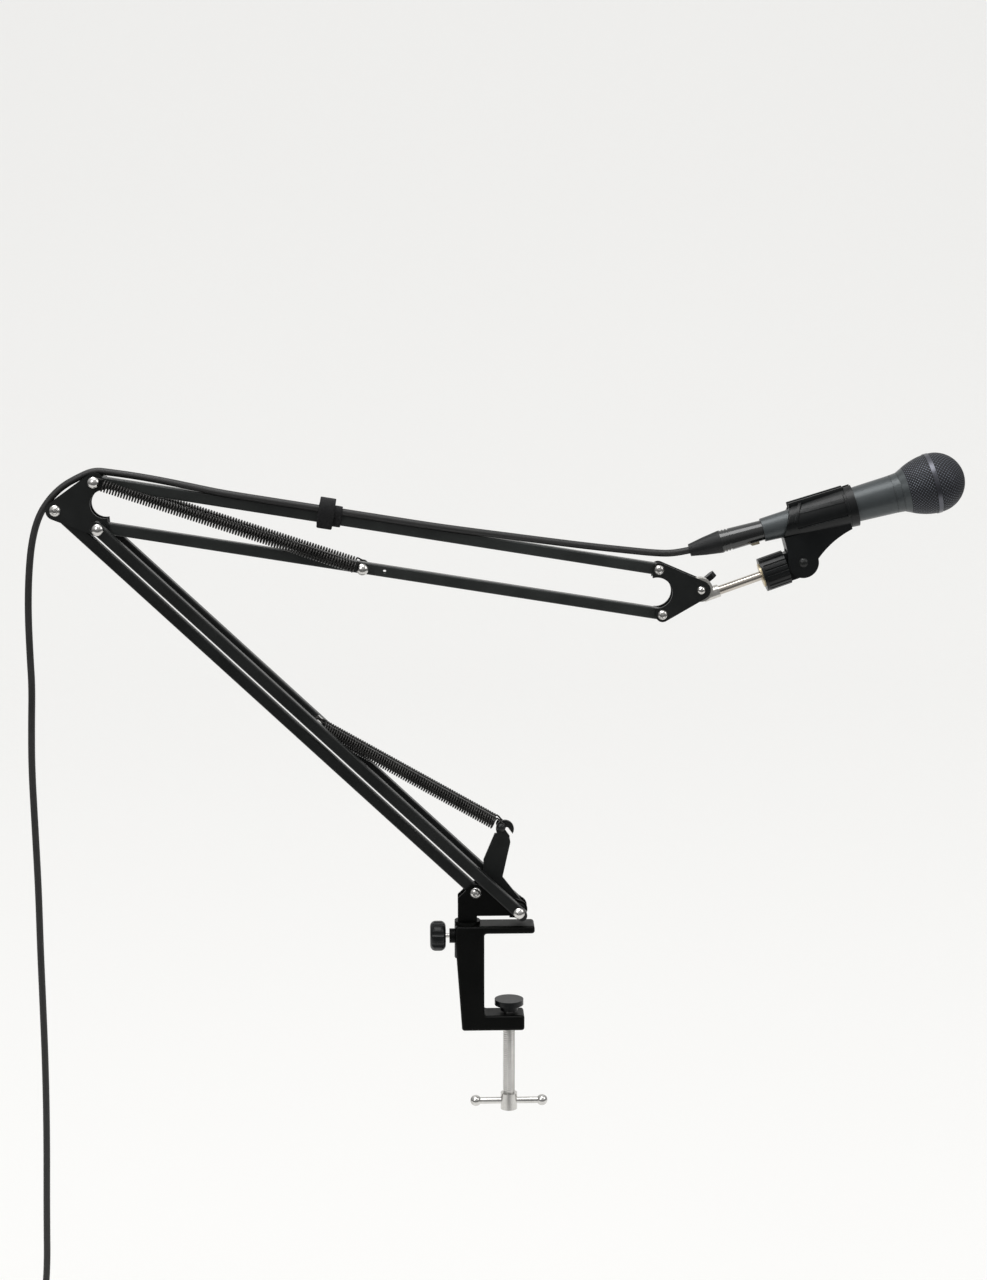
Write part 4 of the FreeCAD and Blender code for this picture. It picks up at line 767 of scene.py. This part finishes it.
def on_holder(along, above, lift=0.0):
    """A point on the holder's front, by its distance along the microphone and its height over the axis."""
    grip = GRIP_TAIL + min(along, GRIP_BREAK) * TAIL_TAPER + max(along - GRIP_BREAK, 0.0) * BODY_TAPER
    radius = grip + HOLDER_WALL + lift
    return on_mic(along, -math.sqrt(radius * radius - above * above), above)


def slope_at(along, above):
    """The way up round the holder's front at a place."""
    return (on_holder(along, above + 0.0005) - on_holder(along, above - 0.0005)).normalized()


def holder_lip():
    """The straight lip beside the holder's slot, square at its front end."""
    bpy.ops.object.select_all(action="DESELECT")
    bpy.ops.mesh.primitive_cube_add(size=1.0, location=on_mic(*LIP_PLACE), scale=LIP_SIZE,
                                    rotation=(0, -mic_tilt, 0))
    obj = settle(named("holder_lip", plastic))
    choose(obj, lambda vertex: (vertex.co - mic_tail).dot(mic_way) < LIP_PLACE[0], "VERT")
    bpy.ops.transform.translate(value=mic_up * -LIP_DROP)
    choose(obj, lambda edge: True, "EDGE")
    bpy.ops.mesh.bevel(offset=LIP_EDGE, segments=2)
    bpy.ops.object.mode_set(mode="OBJECT")
    return smooth(obj)


def holder_rib(name, points, width_way, width, thickness):
    """One moulded rib on the holder."""
    return strap(name, points, width_way, width, thickness, plastic, crisp=True)


def holder_ribs():
    """The lip, the raised ribs and the slanted strap on the front of the holder, joined."""
    lip = holder_lip()
    long_line = [on_holder(s / 1000, RIB_HEIGHT) for s in (39, 47, 55, 63, 70, 74)]
    long_rib = holder_rib("holder_long_rib", long_line, slope_at(0.057, RIB_HEIGHT),
                          width=0.0034, thickness=0.0024)
    band = holder_rib("holder_slant", [on_holder(s / 1000, h / 1000) for s, h in SLANT], mic_way,
                      width=0.0086, thickness=0.0018)
    edge_line = [on_holder((s + SLANT_EDGE_SHIFT) / 1000, h / 1000, SLANT_EDGE_LIFT) for s, h in SLANT]
    edge = holder_rib("holder_slant_edge", edge_line, mic_way, width=0.0028, thickness=0.0032)
    post_line = [on_holder(FRONT_RIB, h / 1000) for h in (13.6, 11.0, 8.0, 4.0, 0.0, -3.6, -5.6)]
    post = holder_rib("holder_front_rib", post_line, mic_way, width=0.0024, thickness=0.0024)
    ridge_line = [on_holder(s / 1000, RIDGE_HEIGHT) for s in (29, 40, 52, 64, 75)]
    ridge = holder_rib("holder_low_ridge", ridge_line, slope_at(0.052, RIDGE_HEIGHT),
                       width=0.0014, thickness=0.0022)
    pick(long_rib, band, edge, post, ridge, lip)
    bpy.ops.object.join()
    return named("holder_ribs_front", plastic)


ribs_front = holder_ribs()
pick(ribs_front)
bpy.ops.object.duplicate()
ribs_back = named("holder_ribs_back", plastic)
bpy.ops.transform.mirror(constraint_axis=(False, True, False), center_override=(0, 0, 0))
settle(ribs_back)
tidy(ribs_back)
for ribs in (ribs_front, ribs_back):
    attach(ribs, "clip")


# Screw thread

THREAD_POINTS, THREAD_WIRE, THREAD_RADIUS, THREAD_PITCH = 18, 0.3, 0.0049, 0.002
SCREW_FOOT, SCREW_PLAIN_END = 0.0158, 0.010


def thread(name, start, way, length, radius, pitch, body):
    """The raised thread round a screw, wound turn by turn."""
    side = way.orthogonal().normalized()
    other = way.cross(side)
    steps = int(length / pitch * THREAD_POINTS)
    line = []
    for step in range(steps + 1):
        turn = 2 * math.pi * step / THREAD_POINTS
        out = side * math.cos(turn) + other * math.sin(turn)
        line.append(start + way * (pitch * step / THREAD_POINTS) + out * radius)
    obj = tube(name, line, pitch * THREAD_WIRE, nickel, 1)
    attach(obj, body)


screw_low, screw_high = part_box("clamp_screw")
screw_foot = Vector(((screw_low.x + screw_high.x) / 2, 0, screw_low.z + SCREW_FOOT))
thread("clamp_screw_thread", screw_foot, UP, screw_high.z - screw_foot.z - SCREW_PLAIN_END, THREAD_RADIUS,
       THREAD_PITCH, "screw")


# Backdrop and light

SHEET, SHEET_BACK, WALL, SHEET_GLOW, FLOOR_GAP = 5.0, 1.5, 5.0, 0.72, 0.001
SWEEP_RADIUS, SWEEP_STEPS, SWEEP_STEP = 1.2, 12, math.radians(7.5)


def make_backdrop():
    """A pale sheet that runs from the floor up the wall in one curve."""
    material, work, shader, place = start_material("pale_backdrop")
    mottle = work.noise(place, 1.4, 2.0)
    work.put(shader, "Base_Color", work.tint(mottle, (0.86, 0.86, 0.855, 1.0), (0.89, 0.89, 0.885, 1.0)))
    work.put(shader, "Roughness", 0.9)
    work.put(shader, "Specular_IOR_Level", 0.1)
    ray = work.add("ShaderNodeLightPath").outputs
    seen = work.math("MAXIMUM", ray["Is Camera Ray"], work.math("MAXIMUM", ray["Is Glossy Ray"],
                                                                ray["Is Transmission Ray"]))
    glow = work.add("ShaderNodeEmission", None, Color=(1.0, 0.995, 0.975, 1.0), Strength=1.0).outputs[0]
    both = work.add("ShaderNodeMixShader", None, i0=work.math("MULTIPLY", seen, SHEET_GLOW),
                    i1=shader.outputs[0], i2=glow)
    work.tree.links.new(both.outputs[0], material.node_tree.nodes["Material Output"].inputs["Surface"])
    floor_level = cad_box[0].z - FLOOR_GAP
    bpy.ops.object.select_all(action="DESELECT")
    bpy.ops.mesh.primitive_plane_add(size=SHEET, location=(0, SHEET_BACK, floor_level))
    sheet = named("backdrop", material)
    settle(sheet)
    choose(sheet, lambda edge: all(sheet.data.vertices[i].co.y > SHEET_BACK for i in edge.vertices), "EDGE")
    for step in range(SWEEP_STEPS):
        last, angle = SWEEP_STEP * step, SWEEP_STEP * (step + 1)
        move = (0, SWEEP_RADIUS * (math.sin(angle) - math.sin(last)),
                SWEEP_RADIUS * (math.cos(last) - math.cos(angle)))
        bpy.ops.mesh.extrude_region_move(TRANSFORM_OT_translate={"value": move})
    bpy.ops.mesh.extrude_region_move(TRANSFORM_OT_translate={"value": (0, 0, WALL)})
    bpy.ops.object.mode_set(mode="OBJECT")
    bpy.ops.object.shade_smooth()
    return sheet


make_backdrop()


def soft_light(name, place, target, size, power):
    """An area light at a place, turned to a target."""
    data = bpy.data.lights.new(name, "AREA")
    data.shape = "RECTANGLE"
    data.size, data.size_y = size
    data.energy = power
    light = bpy.data.objects.new(name, data)
    bpy.context.scene.collection.objects.link(light)
    light.location = place
    light.rotation_euler = (Vector(target) - Vector(place)).to_track_quat("-Z", "Y").to_euler()


def make_studio():
    """Even pale walls where the camera looks, and a room that darkens towards the floor all round."""
    world = bpy.data.worlds.new("studio")
    bpy.context.scene.world = world
    world.use_nodes = True
    work = Nodes(world.node_tree)
    shader = world.node_tree.nodes["Background"]
    height = work.add("ShaderNodeSeparateXYZ", None,
                      Vector=work.add("ShaderNodeTexCoord").outputs["Generated"]).outputs["Z"]
    room = work.tint(work.spread(height, -0.1, 0.9), (0.16, 0.16, 0.16, 1.0), (0.85, 0.85, 0.85, 1.0))
    seen = work.add("ShaderNodeLightPath").outputs["Is Camera Ray"]
    work.put(shader, "Color", work.tint(seen, room, (0.92, 0.915, 0.9, 1.0)))
    work.put(shader, "Strength", 1.0)


soft_light("overhead_softbox", (-0.4, -0.4, 2.4), (0, 0, 0.25), (2.2, 1.0), 32.0)
soft_light("front_softbox", (-1.5, -2.2, 1.8), (0, 0, 0.25), (0.9, 1.2), 20.0)
soft_light("right_softbox", (2.0, -0.9, 1.5), (0.1, 0, 0.3), (0.7, 1.2), 9.0)
make_studio()
bpy.context.scene.view_settings.view_transform = "Standard"
